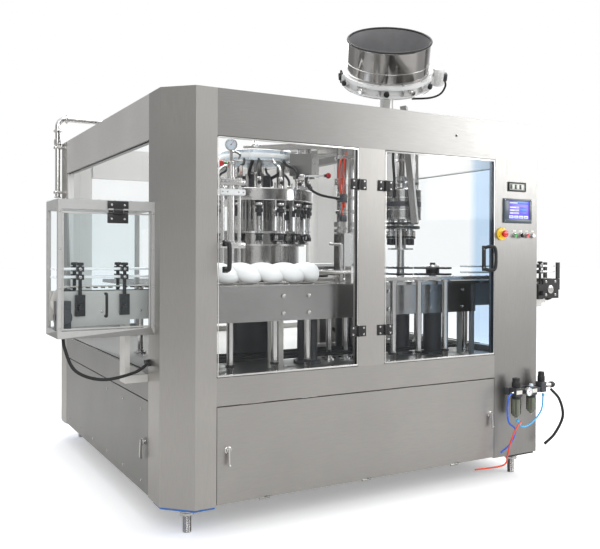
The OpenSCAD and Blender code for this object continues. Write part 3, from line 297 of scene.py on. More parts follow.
class Part:
    """A visible piece gathered from bevelled boxes, lathed profiles and swept tubes."""

    def __init__(self, name, body="cabinet", stands_for=(), slot=None, local=None):
        self.name = name
        self.body = body
        self.stands_for = stands_for
        self.slot = slot
        self.local = local or Matrix.Identity(4)
        self.bm = bmesh.new()
        self.paints = []

    def mesh(self, verts, faces, paint):
        if paint not in self.paints:
            self.paints.append(paint)
        made = [self.bm.verts.new(self.local @ Vector(v)) for v in verts]
        for loop in faces:
            face = self.bm.faces.new([made[i] for i in loop])
            face.material_index = self.paints.index(paint)
            face.smooth = True
        return self

    def box(self, a, b, paint, bevel=1.5, segments=2):
        temp = bmesh.new()
        bmesh.ops.create_cube(temp, size=1)
        lo = Vector([min(p, q) for p, q in zip(a, b)])
        hi = Vector([max(p, q) for p, q in zip(a, b)])
        for v in temp.verts:
            v.co = Vector([m + c * s for m, c, s in zip((lo + hi) / 2, v.co, hi - lo)])
        reach = min(bevel, 0.45 * min(hi - lo))
        if reach > 0:
            bmesh.ops.bevel(
                temp, geom=list(temp.edges), offset=reach, segments=segments, affect="EDGES", profile=0.5
            )
        temp.verts.index_update()
        verts = [v.co.copy() for v in temp.verts]
        faces = [[v.index for v in f.verts] for f in temp.faces]
        temp.free()
        return self.mesh(verts, faces, paint)

    def border(self, outer, inner, y0, y1, paint, bevel):
        """Four bars round an upright opening; outer and inner are (left, low, right, high)."""
        left, low, right, high = outer
        p, q, r, s = inner
        bars = ((left, low, right, q), (left, s, right, high), (left, q, p, s), (r, q, right, s))
        for x0, z0, x1, z1 in bars:
            self.box((x0, y0, z0), (x1, y1, z1), paint, bevel)

    def slab(self, first, last, paint):
        """Joins two outlines of equal length into a plate."""
        n = len(first)
        faces = [tuple(range(n)), tuple(range(n, 2 * n))]
        faces += [(i, (i + 1) % n, n + (i + 1) % n, n + i) for i in range(n)]
        return self.mesh(first + last, faces, paint)

    def lathe(self, at, axis, profile, paint, steps=36, closed=False, turn=0.0):
        """Turns the (radius, distance along the axis) profile about the axis through at."""
        basis = Vector(axis).normalized().to_track_quat("Z", "Y").to_matrix()
        verts = []
        rings = []
        for radius, along in profile:
            count = 1 if radius <= 0 else steps
            rings.append([len(verts) + i for i in range(count)])
            for i in range(count):
                angle = turn + 2 * pi * i / steps
                spot = Vector((radius * cos(angle), radius * sin(angle), along))
                verts.append(Vector(at) + basis @ spot)
        faces = []
        pairs = list(zip(rings, rings[1:])) + ([(rings[-1], rings[0])] if closed else [])
        for a, b in pairs:
            if len(a) == 1 and len(b) == 1:
                continue
            for i in range(steps):
                j = (i + 1) % steps
                if len(a) == 1:
                    faces.append((a[0], b[j], b[i]))
                elif len(b) == 1:
                    faces.append((a[i], a[j], b[0]))
                else:
                    faces.append((a[i], a[j], b[j], b[i]))
        if not closed:
            for ring in (rings[0][::-1], rings[-1]):
                if len(ring) > 1:
                    faces.append(ring)
        return self.mesh(verts, faces, paint)

    def rod(self, a, b, r, paint, steps=24, edge=1.0):
        """Round bar from a to b with chamfered ends."""
        a, b = Vector(a), Vector(b)
        length = (b - a).length
        e = min(edge, r * 0.4, length * 0.3)
        return self.lathe(a, b - a, [(r - e, 0), (r, e), (r, length - e), (r - e, length)], paint, steps)

    def ball(self, at, r, paint, squash=1.0, steps=24, axis=UP):
        rows = 10
        arc = [pi * i / rows - pi / 2 for i in range(rows + 1)]
        middle = [(r * cos(t), r * squash * sin(t)) for t in arc[1:-1]]
        profile = [(0, -r * squash)] + middle + [(0, r * squash)]
        return self.lathe(at, axis, profile, paint, steps)

    def hoop(self, at, axis, r, thick, paint, steps=48):
        """Torus: a round bar bent into a ring."""
        arc = [2 * pi * i / 10 for i in range(10)]
        return self.lathe(
            at, axis, [(r + thick * cos(t), thick * sin(t)) for t in arc], paint, steps, closed=True
        )

    def tube(self, points, r, paint, steps=12, smooth=8, flat=1.0):
        """Sweeps a round or flattened section along a smooth curve through the points."""
        path = curve(points, smooth) if smooth else [Vector(p) for p in points]
        verts = []
        count = len(path)
        side = None
        for i, spot in enumerate(path):
            ahead = path[min(i + 1, count - 1)] - path[max(i - 1, 0)]
            ahead.normalize()
            if side is None:
                side = ahead.orthogonal()
            side = (side - ahead * side.dot(ahead)).normalized()
            other = ahead.cross(side)
            for k in range(steps):
                t = 2 * pi * k / steps
                verts.append(spot + r * (cos(t) * side + flat * sin(t) * other))
        faces = []
        for i in range(count - 1):
            for k in range(steps):
                n = (k + 1) % steps
                faces.append((i * steps + k, i * steps + n, (i + 1) * steps + n, (i + 1) * steps + k))
        faces.append(tuple(range(steps))[::-1])
        faces.append(tuple((count - 1) * steps + k for k in range(steps)))
        return self.mesh(verts, faces, paint)

    def bolt(self, at, axis, r, paint="turned", turn=0.0, high=None):
        """Hexagon head on a washer, standing out along the axis."""
        high = high or r * 0.7
        self.lathe(at, axis, [(r * 1.35, -0.4), (r * 1.35, 1.2), (r * 1.2, 1.6)], paint, 20)
        profile = [(r * 1.1, 1.4), (r * 1.1, high * 0.8), (r * 0.95, high), (0, high)]
        return self.lathe(at, axis, profile, paint, 6, turn=turn)

    def bolts(self, at, radius, count, start, height, r):
        """Bolts on a level circle."""
        for spot, _ in around(at, radius, count, start, height):
            self.bolt(spot, UP, r)

    def screw(self, at, axis, r, paint="turned"):
        """Domed socket screw."""
        profile = [(r, -0.4), (r, r * 0.35), (r * 0.8, r * 0.6)]
        profile += [(r * 0.45, r * 0.66), (r * 0.4, r * 0.2), (0, r * 0.2)]
        return self.lathe(at, axis, profile, paint, 16)

    def done(self):
        data = bpy.data.meshes.new(self.name)
        bmesh.ops.recalc_face_normals(self.bm, faces=list(self.bm.faces))
        for v in self.bm.verts:
            v.co = place(v.co)
        self.bm.to_mesh(data)
        self.bm.free()
        for name in self.paints:
            data.materials.append(M[name])
        data.set_sharp_from_angle(angle=radians(32))
        piece = bpy.data.objects.new(self.name, data)
        scene.collection.objects.link(piece)
        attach(piece, self.body)
        if self.stands_for:
            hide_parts(*self.stands_for)
        return piece


def curve(points, smooth):
    """Catmull-Rom curve through the points."""
    p = [Vector(q) for q in points]
    p = [p[0] * 2 - p[1]] + p + [p[-1] * 2 - p[-2]]
    path = []
    for i in range(1, len(p) - 2):
        for k in range(smooth):
            t = k / smooth
            a, b, c, d = p[i - 1], p[i], p[i + 1], p[i + 2]
            spot = 2 * b + (c - a) * t + (2 * a - 5 * b + 4 * c - d) * t * t + (3 * b - a - 3 * c + d) * t**3
            path.append(spot / 2)
    path.append(p[-2])
    return path


def around(at, radius, count, start=0.0, height=0.0):
    """Points on a level circle, with their angles."""
    made = []
    for i in range(count):
        angle = radians(start) + 2 * pi * i / count
        made.append((Vector((at[0] + radius * cos(angle), at[1] + radius * sin(angle), height)), angle))
    return made


# ---------- finishes of the carried-over nodes ----------

GEAR_TOP = 540
TABLE_TOP = span("deck_table")[1].z - 32
VALVE_RING = 1597
TANK_BASE = 1857


def lit_back_post_faces(p):
    """True on the inward faces of the two back posts, which are painted paler steel: painted light."""
    side = min(p.x, CAB_W - p.x)
    back = CAB_D - p.y
    return 20 < back < 400 and side > 20 and side + back > 150


PLAIN = {
    "control": "control_post",
    "panel": "front_panel",
    "frame": "base_frame bed_plate",
    "plate": "deck_table",
    "skirt": "deck_skirt",
    "cast": "main_motor",
    "belt_side": "conveyor_frames",
    "white": "guide_rails",
    "black": "rail_clamps",
    "clear": "left_door",
    "reflection_tinted": "right_door",
    # The right door's sheet carries the painted sky reflection.
    "polished": "cap_chute",
    "drum": "capper_housing",
    "matte_and_shade": "sorter_disc",
    "gear": "filler_gear motor_pinion",
}


def dress_frame():
    for paint, nodes in PLAIN.items():
        for node in nodes.split():
            dress(node, paint)
    # The back posts' inward faces get the paler steel: painted light.
    dress("corner_posts", "post", (lit_back_post_faces, "inner"))
    dress(
        "roof_frame",
        "fascia",
        # The fascia's left outer face gets the lighter steel: painted light.
        (lambda p: p.x < 3 and 320 < p.y < CAB_D - 320, "lit_side_fascia"),
        (lambda p: 62 < p.y < CAB_D - 62 and 62 < p.x < CAB_W - 62, "frame"),
        # Inner faces of the back and right fascia get the paler steel: painted light.
        (lambda p: CAB_D - 62 < p.y < CAB_D - 3 or CAB_W - 62 < p.x < CAB_W - 3, "inner"),
    )
    # The left face's lower cover is painted much darker steel: painted shade.
    dress("side_panels", "panel", (lambda p: p.x < 30 and p.z < 500, "side"), (lambda p: p.x < 62, "frame"))
    dress("deck_columns", "polished", (lambda p: 1600 < p.z < 1640 and abs(p.y - 455) < 40, "white"))
    dress("bearing_housings", "cast", (lambda p: p.z > TABLE_TOP, "rail"))
    dress("infeed_guard", "guard_frame", (lambda p: p.z < 880, "frame"))
    dress("clear_windows", "clear", (lambda p: p.x < 0, "guard"))
    dress("guard_door", "guard", (lambda p: p.y < 221, "black"))


def dress_machine():
    dress("filler_bridge", "polished", (lambda p: 1764 < p.z < 1906 and 1040 < p.x < 1300, "frame"))
    dress("sorter_stand", "drum", (lambda p: p.z > 2230, "pale"))
    deck_ring = (lambda p: 1316 < p.z < 1346, "plate")
    dress("filler_turret", "drum", (lambda p: p.z > TANK_BASE, "tank"), deck_ring)
    for node in ("infeed_star", "transfer_star", "exit_star"):
        dress(node, "nylon", (lambda p: p.z < GEAR_TOP, "gear"), (lambda p: GEAR_TOP <= p.z < 1125, "turned"))
    dress(
        "capper_turret",
        "turned",
        (lambda p: p.z < GEAR_TOP, "gear"),
        (lambda p: 1129 < p.z < 1143 or 1171 < p.z < 1185, "nylon"),
        (lambda p: 1471 < p.z < 1483, "nylon"),
    )
    for number in range(1, 5):
        dress(f"capping_head_{number}", "turned", (lambda p: p.z < 1376, "nylon"))


# ---------- cabinet details ----------

STRIP = 3.0
BELT_Y = 370
GUIDE_POST = (530, 455)
BRIDGE_COLUMN = (1350, 500)
BRIDGE_MIDDLE = (1160, 713)


def window_frames():
    """Dark gaskets round the openings and thin bright strips along the door panes' edges, which are painted
    highlights.
    """
    lo, hi = span("left_door")
    low, top = lo.z - 4, hi.z + 4
    seals = Part("window_seals")
    for x0, x1 in ((251, 1100), (1280, span("control_post")[0].x)):
        for x, side in ((x0, 1), (x1, -1)):
            seals.box((x, 14, low), (x + side * STRIP, 30, top), "rubber", 0.6)
        for z, side in ((low, 1), (top, -1)):
            seals.box((x0, 14, z), (x1, 30, z + side * STRIP), "rubber", 0.6)
    for x in (17, CAB_W - 20):
        seals.box((x, 315, top), (x + STRIP, CAB_D - 315, top - 5), "rubber", 0.6)
        seals.box((x, 502, low), (x + STRIP, CAB_D - 315, low + 5), "rubber", 0.6)
    seals.done()
    for body in ("left_door", "right_door"):
        lo, hi = span(body)
        # Bright steel strips just in front of each pane's edges: painted highlights of the sheet edges.
        edge_highlight = Part(f"{body}_trim", body)
        inner = (lo.x + 5, lo.z + 9, hi.x - 5, hi.z - 9)
        edge_highlight.border((lo.x, lo.z, hi.x, hi.z), inner, lo.y - 1.2, lo.y - 0.1, "rail", 0.4)
        edge_highlight.done()


def cabinet_bolts():
    """Button-head screws along the covers, the small blanked hole in the fascia and a latch's washer."""
    screws = Part("cover_screws")
    for z in (60, 440):
        for y in range(430, int(CAB_D) - 400, 340):
            screws.screw((0, y, z), LEFT, 7)
            screws.screw((CAB_W, y, z), RIGHT, 7)
        for x in range(330, int(CAB_W) - 300, 360):
            screws.screw((x, CAB_D, z), BACK, 7)
    blank = [(9, 0), (9, 1.5), (6.5, 2.2), (6, 0.6), (0, 0.6)]
    screws.lathe((1806, -0.2, 1985), FRONT, blank, "turned", 24)
    # The dark disc in the plug's recess is painted shade.
    screws.lathe((1806, -0.8, 1985), FRONT, [(6, 0), (0, 0.2)], "hole", 24)
    washer = (span("side_panels")[0].x + 8, 372, 280)
    screws.lathe(washer, LEFT, [(20, -8), (20, -5), (17, -3)], "turned", 28)
    screws.done()


def hinge(name, x, side, z, fixed):
    """One leaf of a hinge with its knuckles and countersunk screws."""
    body = "cabinet" if fixed else ("left_door" if side > 0 else "right_door")
    toward = side if fixed else -side
    leaf = Part(name, body)
    reach = 52 if fixed else 54
    leaf.box((x + toward * 7, -5.5, z - 30), (x + toward * reach, 0, z + 30), "black", 2.2, 3)
    ranges = ((-30, -12), (12, 30)) if fixed else ((-11.5, 11.5),)
    for low, high in ranges:
        leaf.box((x, -8, z + low), (x + toward * 9, -2, z + high), "black", 0.6)
        leaf.rod((x, -8, z + low), (x, -8, z + high), 6.2, "black", 24, 0.7)
    if fixed:
        leaf.rod((x, -8, z - 33), (x, -8, z + 33), 3.2, "turned", 16, 0.8)
    for dz in (-18, 18):
        leaf.screw((x + toward * 35, -5.5, z + dz), FRONT, 6)
    return leaf.done()


def hinges():
    leaves = span("hinge_leaves")
    for x, side in ((1099, 1), (1281, -1)):
        for z in (leaves[0].z + 30, leaves[1].z - 30):
            for fixed in (True, False):
                piece = hinge(f"hinge_{x}_{int(z)}_{'fixed' if fixed else 'moving'}", x, side, z, fixed)
    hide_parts("hinge_leaves")
    for door in ("left_door", "right_door"):
        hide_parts(f"{door}_fittings")


def door_handles():
    grip = Part("left_handle", "left_door")
    x, low, high = 294, 1189, 1322
    path = [(x, -2, low), (x, -34, low), (x, -52, 1200), (x, -54, 1255)]
    path += [(x, -52, 1311), (x, -34, high), (x, -2, high)]
    grip.tube(path, 11.5, "black", 18, 8)
    for z, lift in ((low, -11), (high, 11)):
        grip.box((x - 16, -5, z - 16), (x + 16, 0, z + 16), "black", 2.5, 3)
        grip.screw((x, -5, z + lift), FRONT, 4)
    grip.done()
    loop = Part("right_handle", "right_door")
    outer = [(2024, -9, 1182), (2044, -40, 1174), (2070, -55, 1184), (2076, -57, 1246)]
    outer += [(2070, -55, 1309), (2044, -40, 1319), (2024, -9, 1311)]
    loop.tube(outer, 10.5, "black", 18, 8)
    loop.box((2011, -14, 1168), (2037, 0, 1325), "black", 5, 3)
    for z in (1190, 1303):
        loop.screw((2018, -14, z), FRONT, 4)
    loop.done()


def latches():
    z = 278
    collar = [(19, -0.6), (19, 3.5), (16, 5.4), (12.5, 6), (11, 12), (10.5, 16), (8, 17.5)]
    for node in ("left_latch", "right_latch"):
        x = centre(node).x
        latch = Part(f"{node}_grip", node, (node,))
        latch.lathe((x, 0, z), FRONT, collar, "turned", 32)
        handle = [(x, -18, z + 15), (x, -20, z - 5), (x, -23, z - 45), (x, -25, z - 74)]
        latch.tube(handle, 9, "turned", 16, 6, 0.6)
        latch.ball(handle[-1], 8, "turned", 0.9)
        latch.rod((x, -2, z), (x, 32, z), 10.8, "turned")
        latch.box((x - 11, 26, z - 34), (x + 11, 31, z + 12), "turned", 2)
        latch.done()
    side = Part("side_latch")
    side.lathe((0, 372, 280), LEFT, [(18, 0), (18, 3), (14, 6), (11, 14)], "turned", 28)
    side.tube([(-20, 372, 292), (-22, 372, 262), (-25, 372, 200)], 8, "turned", 16, 6, 0.6)
    side.done()


def feet():
    """Threaded rods with nuts, washers and coloured plates under the posts."""
    feet_part = Part("feet", "cabinet", ("levelling_feet",))
    low = span("levelling_feet")[0].z
    spots = ((150, 143), (CAB_W - 103, 119), (150, CAB_D - 143), (CAB_W - 150, CAB_D - 143))
    for x, y in spots:
        thread = [(20, 0), (21.8, 1.5)]
        for i in range(int((-10 - low - 6) / 3)):
            thread += [(21.9, 4 + 3 * i), (20.2, 5.5 + 3 * i)]
        thread += [(21, -10 - low)]
        feet_part.lathe((x, y, low), UP, thread, "turned", 28)
        for z, high in ((-34, 23), (-62, 18)):
            nut = [(36, 0), (40, 3), (40, high - 3), (36, high)]
            feet_part.lathe((x, y, z), UP, nut, "turned", 6)
        feet_part.lathe((x, y, -40), UP, [(44, 0), (44, 4), (42, 5)], "turned", 30)
    for right in (False, True):
        for back in (False, True):
            corner = [(137, 5), (245, 5), (245, 241), (5, 241), (5, 137)]
            if right and not back:
                corner = [(20, 5), (241, 5), (241, 241), (20, 241)]
            outline = [(CAB_W - px if right else px, CAB_D - py if back else py) for px, py in corner]
            layers = [[(px, py, z) for px, py in outline] for z in (-10.5, -0.3)]
            feet_part.slab(*layers, "rubber" if right else "foot_blue")
            bx, by = (CAB_W - 205 if right else 205), (CAB_D - 60 if back else 60)
            feet_part.bolt((bx, by, -10), DOWN, 9)
    feet_part.done()


# ---------- operator panel ----------


def operator_panel():
    panel = Part("panel_bezel", "cabinet", ("operator_panel",), "panel_plastic")

    def plate(x0, z0, x1, z1, front, back, paint, bevel):
        panel.box((x0, front, z0), (x1, back, z1), paint, bevel)

    x0, z0, x1, z1 = 2187, 1469, 2434, 1624
    see = (2231, 1495, 2408, 1610)
    panel.box((x0, -5, z0), (x1, 0, z1), "bezel", 2, 3)
    panel.border((x0 + 4, z0 + 4, x1 - 4, z1 - 4), see, -10, -4, "bezel", 0.8)
    plate(*see, -6.4, -4.5, "screen", 0.2)
    left, low, right, high = see[0] + 5, see[1] + 5, see[2] - 5, see[3] - 5
    plate(left, high - 15, right, high, -7, -6.2, "screen_blue", 0.2)
    plate(left + 3, high - 11, left + 70, high - 5, -7.3, -6.8, "screen_pale", 0.2)
    for column in range(4):
        x = left + column * 42.5
        plate(x, low, x + 36, low + 17, -7, -6.2, "screen_pale", 0.3)
        plate(x + 5, low + 6, x + 31, low + 11, -7.3, -6.8, "screen_blue", 0.2)
    for row in range(3):
        z = low + 27 + row * 18
        plate(left + 4, z, left + 84, z + 11, -7, -6.2, "screen_grey", 0.3)
        plate(left + 8, z + 3, left + 30 + 12 * row, z + 8, -7.3, -6.8, "screen_pale", 0.2)
        plate(left + 96, z, left + 150, z + 11, -7, -6.2, "screen_blue", 0.3)
    for x in (x0 + 10, x1 - 10):
        for z in (z0 + 10, z1 - 10):
            panel.screw((x, -10, z), FRONT, 3)
    panel.border((2230, 1670, 2381, 1729), (2239, 1679, 2372, 1720), -7.5, 0, "black", 1.2)
    plate(2239, 1679, 2372, 1720, -4, 0, "lamp", 0.2)
    for i in range(6):
        x = 2247 + i * 20
        plate(x, 1685, x + 13, 1714, -4.8, -3.8, "cream" if i % 2 else "black", 0.4)
    stop = centre("emergency_button")
    collar = [(40, 0), (40, 9), (37, 12), (24, 12), (20, 14), (11.3, 14), (11.3, 1)]
    panel.lathe((stop.x, 0, stop.z), FRONT, collar, "yellow", 48)
    for i in range(3):
        angle = radians(90 + 120 * i)
        x, z = stop.x + 31 * cos(angle), stop.z + 31 * sin(angle)
        plate(x - 4, z - 2, x + 4, z + 2, -12.6, -11.6, "rubber", 0.5)
    ring = [(15, 0), (15, 11), (14, 13.4), (12.4, 14), (11.3, 13), (11.3, 1)]
    for node in ("start_button", "mode_selector", "stop_button", "jog_button"):
        x = centre(node).x
        panel.lathe((x, 0, 1392), FRONT, ring, "turned", 36)
        plate(x - 15, 1414, x + 15, 1425, -1.4, 0, "cream", 0.6)
    panel.done()


def push_buttons():
    c = centre("emergency_button")
    cap = Part("emergency_mushroom", "emergency_button", ("emergency_button",))
    dome = [(10.8, 9), (10.8, 28), (20, 28.5), (22.4, 31), (22.4, 36)]
    dome += [(20.5, 40.5), (15, 43.2), (7, 44.2), (0, 44.3)]
    cap.lathe((c.x, 0, c.z), FRONT, dome, "red", 40)
    for i in range(3):
        angle = radians(30 + 120 * i)
        spot = Vector((c.x + 13 * cos(angle), -42.6, c.z + 13 * sin(angle)))
        cap.box(spot - Vector((3.2, 1.4, 1.2)), spot + Vector((3.2, 1.2, 1.2)), "cream", 0.8)
    cap.done()
    for node, paint in (("start_button", "green"), ("stop_button", "red"), ("jog_button", "white")):
        c = centre(node)
        cap = Part(f"{node}_cap", node, (node,))
        dome = [(10.9, 6), (10.9, 17.4), (10, 18.8), (7, 18.4), (4, 18.1), (0, 18.1)]
        cap.lathe((c.x, 0, c.z), FRONT, dome, paint, 36)
        cap.done()
    c = centre("mode_selector")
    knob = Part("mode_knob", "mode_selector", ("mode_selector",))
    knob.lathe((c.x, 0, c.z), FRONT, [(10.8, 4), (10.8, 17), (9.8, 18.4), (0, 18.6)], "black", 32)
    knob.box((c.x - 5, -28, c.z - 13.5), (c.x + 5, -16, c.z + 13.5), "black", 2.5, 3)
    knob.box((c.x - 0.8, -28.5, c.z + 1), (c.x + 0.8, -27.4, c.z + 12.5), "white", 0.3)
    knob.done()


# ---------- compressed air ----------


def ribbed_knob(name, body, at, r, high):
    knob = Part(name, body, (body,))
    waist = r * 0.93
    outer = [(r - 1, 0), (r, 2), (r, high * 0.55), (waist, high * 0.6)]
    outer += [(waist, high - 4), (r * 0.8, high), (0, high)]
    knob.lathe(at, UP, outer, "black", 36)
    for spot, _ in around(at, r - 0.3, 20, 0, at[2] + 4):
        knob.box(spot - Vector((1.3, 1.3, 0)), spot + Vector((1.3, 1.3, high * 0.5 - 2)), "black", 0.8)
    cap = (at[0], at[1], at[2] + high - 0.2)
    knob.lathe(cap, UP, [(r * 0.5, 0), (r * 0.45, 0.8), (0, 0.8)], "rubber", 24)
    knob.done()


def gauge(part, at, axis, r, deep):
    """Dial gauge: steel case, pale face behind a domed edge, needle and ticks."""
    axis = Vector(axis).normalized()
    case = [(r * 0.86, 0), (r * 0.97, 2), (r, 4), (r, deep - 1)]
    case += [(r * 0.95, deep), (r * 0.86, deep), (r * 0.84, deep - 3)]
    part.lathe(at, axis, case, "turned", 40)
    face = Vector(at) + axis * (deep - 4)
    part.lathe(face, axis, [(r * 0.86, 0), (r * 0.86, 1), (0, 1.01)], "dial", 40)
    side = axis.cross(Vector(UP)).normalized()
    for i in range(9):
        angle = radians(-135 + i * 33.75)
        aim = side * sin(angle) + Vector(UP) * cos(angle)
        spot = face + axis * 1.3
        part.rod(spot + aim * r * 0.6, spot + aim * r * 0.76, max(0.5, r * 0.025), "black", 6, 0.1)
    aim = side * sin(-0.7) + Vector(UP) * cos(-0.7)
    needle = face + axis * 2
    part.rod(needle - aim * r * 0.15, needle + aim * r * 0.62, max(0.5, r * 0.03), "red", 8, 0.2)
    part.lathe(face, axis, [(r * 0.1, 0), (r * 0.1, 3), (0, 3.2)], "black", 16)


def air_service():
    unit = Part("air_filter_unit", "cabinet", ("air_unit",), "air_body")
    xs = (2243, 2373, 2462)
    y = -64
    unit.box((2205, -36, 392), (2484, 0, 436), "cast", 3)
    bowls = ((xs[0], 268, 118), (xs[1], 284, 102))
    for x, z, high in bowls:
        unit.box((x - 28, y - 28, 386), (x + 28, -36, 440), "cast", 4, 3)
        unit.box((x - 24, y - 29, 402), (x + 24, y - 27, 426), "cream", 1)
        glass_bowl = [(0, -15), (10, -14), (12, -8), (22, -3), (26, 6)]
        glass_bowl += [(26.5, high - 12), (24, high - 10), (24, high)]
        unit.lathe((x, y, z), UP, glass_bowl, "bowl", 40)
        unit.lathe((x, y, z + high - 16), UP, [(27, 0), (28.4, 2), (28.4, 12), (27, 15)], "black", 40)
        for spot, _ in around((x, y), 27.3, 4, 45, z + 12):
            unit.box(spot - Vector((2, 2, 4)), spot + Vector((2, 2, high - 26)), "black", 1)
        unit.lathe((x, y, z - 22), UP, [(4, 0), (6, 2), (6, 9), (9, 12)], "turned", 20)
    for a, b in (((2271, 398), (2345, 430)), ((2401, 398), (2440, 430))):
        unit.box((a[0], y - 18, a[1]), (b[0], -36, b[1]), "cast", 3)
    unit.box((2440, y - 24, 396), (2486, -36, 462), "cast", 4)
    unit.lathe((xs[1], y, 438), UP, [(16, 0), (16, 4), (13, 6), (13, 14), (10, 17), (0, 17.2)], "dial", 30)
    unit.rod((2486, y, 435), (2540, y, 435), 16, "turned", 28, 2)
    unit.lathe((2540, y, 435), RIGHT, [(19, 0), (20, 2), (20, 24), (17, 30), (12, 38)], "black", 30)
    for x, z in ((xs[0], 440), (xs[2], 462)):
        unit.lathe((x, y, z), UP, [(14, -1), (14, 0), (11.9, 0.4), (11.9, 9.6), (0, 9.6)], "turned", 28)
    unit.rod((2205, y - 12, 414), (2190, y - 14, 412), 8, "turned", 20)
    unit.done()
    dials = Part("dial_gauges", "cabinet", ("gauges",), "dial")
    gauge(dials, (2318, y - 20, 414), FRONT, 27, 22)
    turn = radians(-25)
    gauge(dials, (*GUIDE_POST, 1891), (sin(turn), -cos(turn), 0), 35, 16)
    dials.rod((*GUIDE_POST, 1856), (*GUIDE_POST, 1891), 8, "turned")
    dials.done()
    ribbed_knob("regulator_cap", "regulator_knob", (xs[0], y, 441), 25, 60)
    ribbed_knob("valve_cap", "valve_knob", (xs[2], y, 463), 22, 62)
    lines = Part("air_lines", "cabinet", ("air_tubes",), "tube_plastic")
    blue = [(2196, -78, 412), (2152, -95, 395), (2134, -100, 330), (2152, -95, 240)]
    blue += [(2212, -90, 185), (2190, -72, 100), (2136, -42, 42)]
    lines.tube(blue, 5.5, "tube_blue", 12, 10)
    sky = [(2215, -105, 246), (2250, -110, 205), (2330, -112, 222), (2420, -105, 290), (2442, -100, 385)]
    lines.tube(sky, 5.5, "tube_sky", 12, 10)
    red = [(2246, -108, 236), (2190, -120, 205), (2146, -115, 120), (2134, -102, 40), (2130, -95, -6)]
    red += [(2085, -82, -26), (1925, -42, -34)]
    lines.tube(red, 5, "tube_red", 12, 10)
    hose = [(2520, -92, 412), (2590, -100, 340), (2620, -100, 230), (2570, -80, 120), (2500, -60, 58)]
    lines.tube(hose, 9, "rubber", 14, 10)
    for spot, aim in (((2215, -105, 246), (0.5, 0, -1)), ((2442, -100, 385), UP)):
        lines.lathe(spot, aim, [(8, -8), (9, -6), (9, 6), (7, 9)], "tube_sky", 20)
    cable = [(-440, 290, 884), (-430, 285, 800), (-380, 270, 690)]
    cable += [(-250, 262, 640), (-90, 275, 660), (-8, 290, 700)]
    lines.tube(cable, 8, "rubber", 14, 10)
    lines.lathe((-2, 291, 703), LEFT, [(18, -2), (18, 6), (13, 10), (12, 20)], "black", 24)
    lines.done()


# ---------- transport ----------


def timing_screw():
    """White one-start screw with rounded flights, on a polished shaft."""
    lo, hi = span("timing_screw")
    axis_y, axis_z = (lo.y + hi.y) / 2, (lo.z + hi.z) / 2
    start, stop = 292, 979
    pitch = 2 * pi * 21.875
    root, crest = 37, 59
    screw = Part("timing_screw_flights", "timing_screw", ("timing_screw",), "white_plastic")
    rows = 230
    around_n = 56
    verts = []
    for i in range(rows + 1):
        x = start + (stop - start) * i / rows
        fade = min(1.0, (i + 2) / 10, (rows - i + 2) / 10)
        for k in range(around_n):
            t = 2 * pi * k / around_n
            wave = abs(cos(pi * ((x - start) / pitch - t / (2 * pi)))) ** 0.55
            r = (root + (crest - root) * wave) * (0.88 + 0.12 * fade)
            verts.append((x, axis_y + r * sin(t), axis_z - r * cos(t)))
    faces = []
    for i in range(rows):
        for k in range(around_n):
            n = (k + 1) % around_n
            faces.append((i * around_n + k, (i + 1) * around_n + k, (i + 1) * around_n + n, i * around_n + n))
    faces.append(tuple(range(around_n)))
    faces.append(tuple(rows * around_n + k for k in range(around_n)))
    screw.mesh(verts, faces, "white")
    screw.rod((266, axis_y, axis_z), (start + 2, axis_y, axis_z), 13.9, "polished", 30)
    screw.rod((stop - 2, axis_y, axis_z), (hi.x, axis_y, axis_z), 13.9, "polished", 30)
    for x in (start - 9, stop):
        screw.lathe((x, axis_y, axis_z), RIGHT, [(20, 0), (24, 1.5), (24, 7.5), (20, 9)], "turned", 32)
    screw.done()


def slat_chain(part, ends, top, radius, y, width):
    """Overlapping slats round a stadium path, with links between them."""
    a, b = ends
    straight = b - a
    total = 2 * straight + 2 * pi * radius
    count = int(total / 38.1)
    step = total / count
    mid = top - radius
    for i in range(count):
        s = (i + 0.5) * step
        if s < straight:
            spot, angle = Vector((a + s, 0, mid + radius)), 0.0
        elif s < straight + pi * radius:
            angle = (s - straight) / radius
            spot = Vector((b + radius * sin(angle), 0, mid + radius * cos(angle)))
        elif s < 2 * straight + pi * radius:
            spot, angle = Vector((b - (s - straight - pi * radius), 0, mid - radius)), pi
        else:
            angle = pi + (s - 2 * straight - pi * radius) / radius
            spot = Vector((a + radius * sin(angle), 0, mid + radius * cos(angle)))
        turn = Matrix.Translation(spot + Vector((0, y, 0))) @ Matrix.Rotation(angle, 4, "Y")
        part.local = turn
        part.box((-step / 2 + 0.8, -width / 2, -4.5), (step / 2 - 0.8, width / 2, -0.2), "chain", 1.0, 1)
        part.box((-9, -12, -11.5), (9, 12, -4), "cast", 1.5, 1)
    part.local = Matrix.Identity(4)


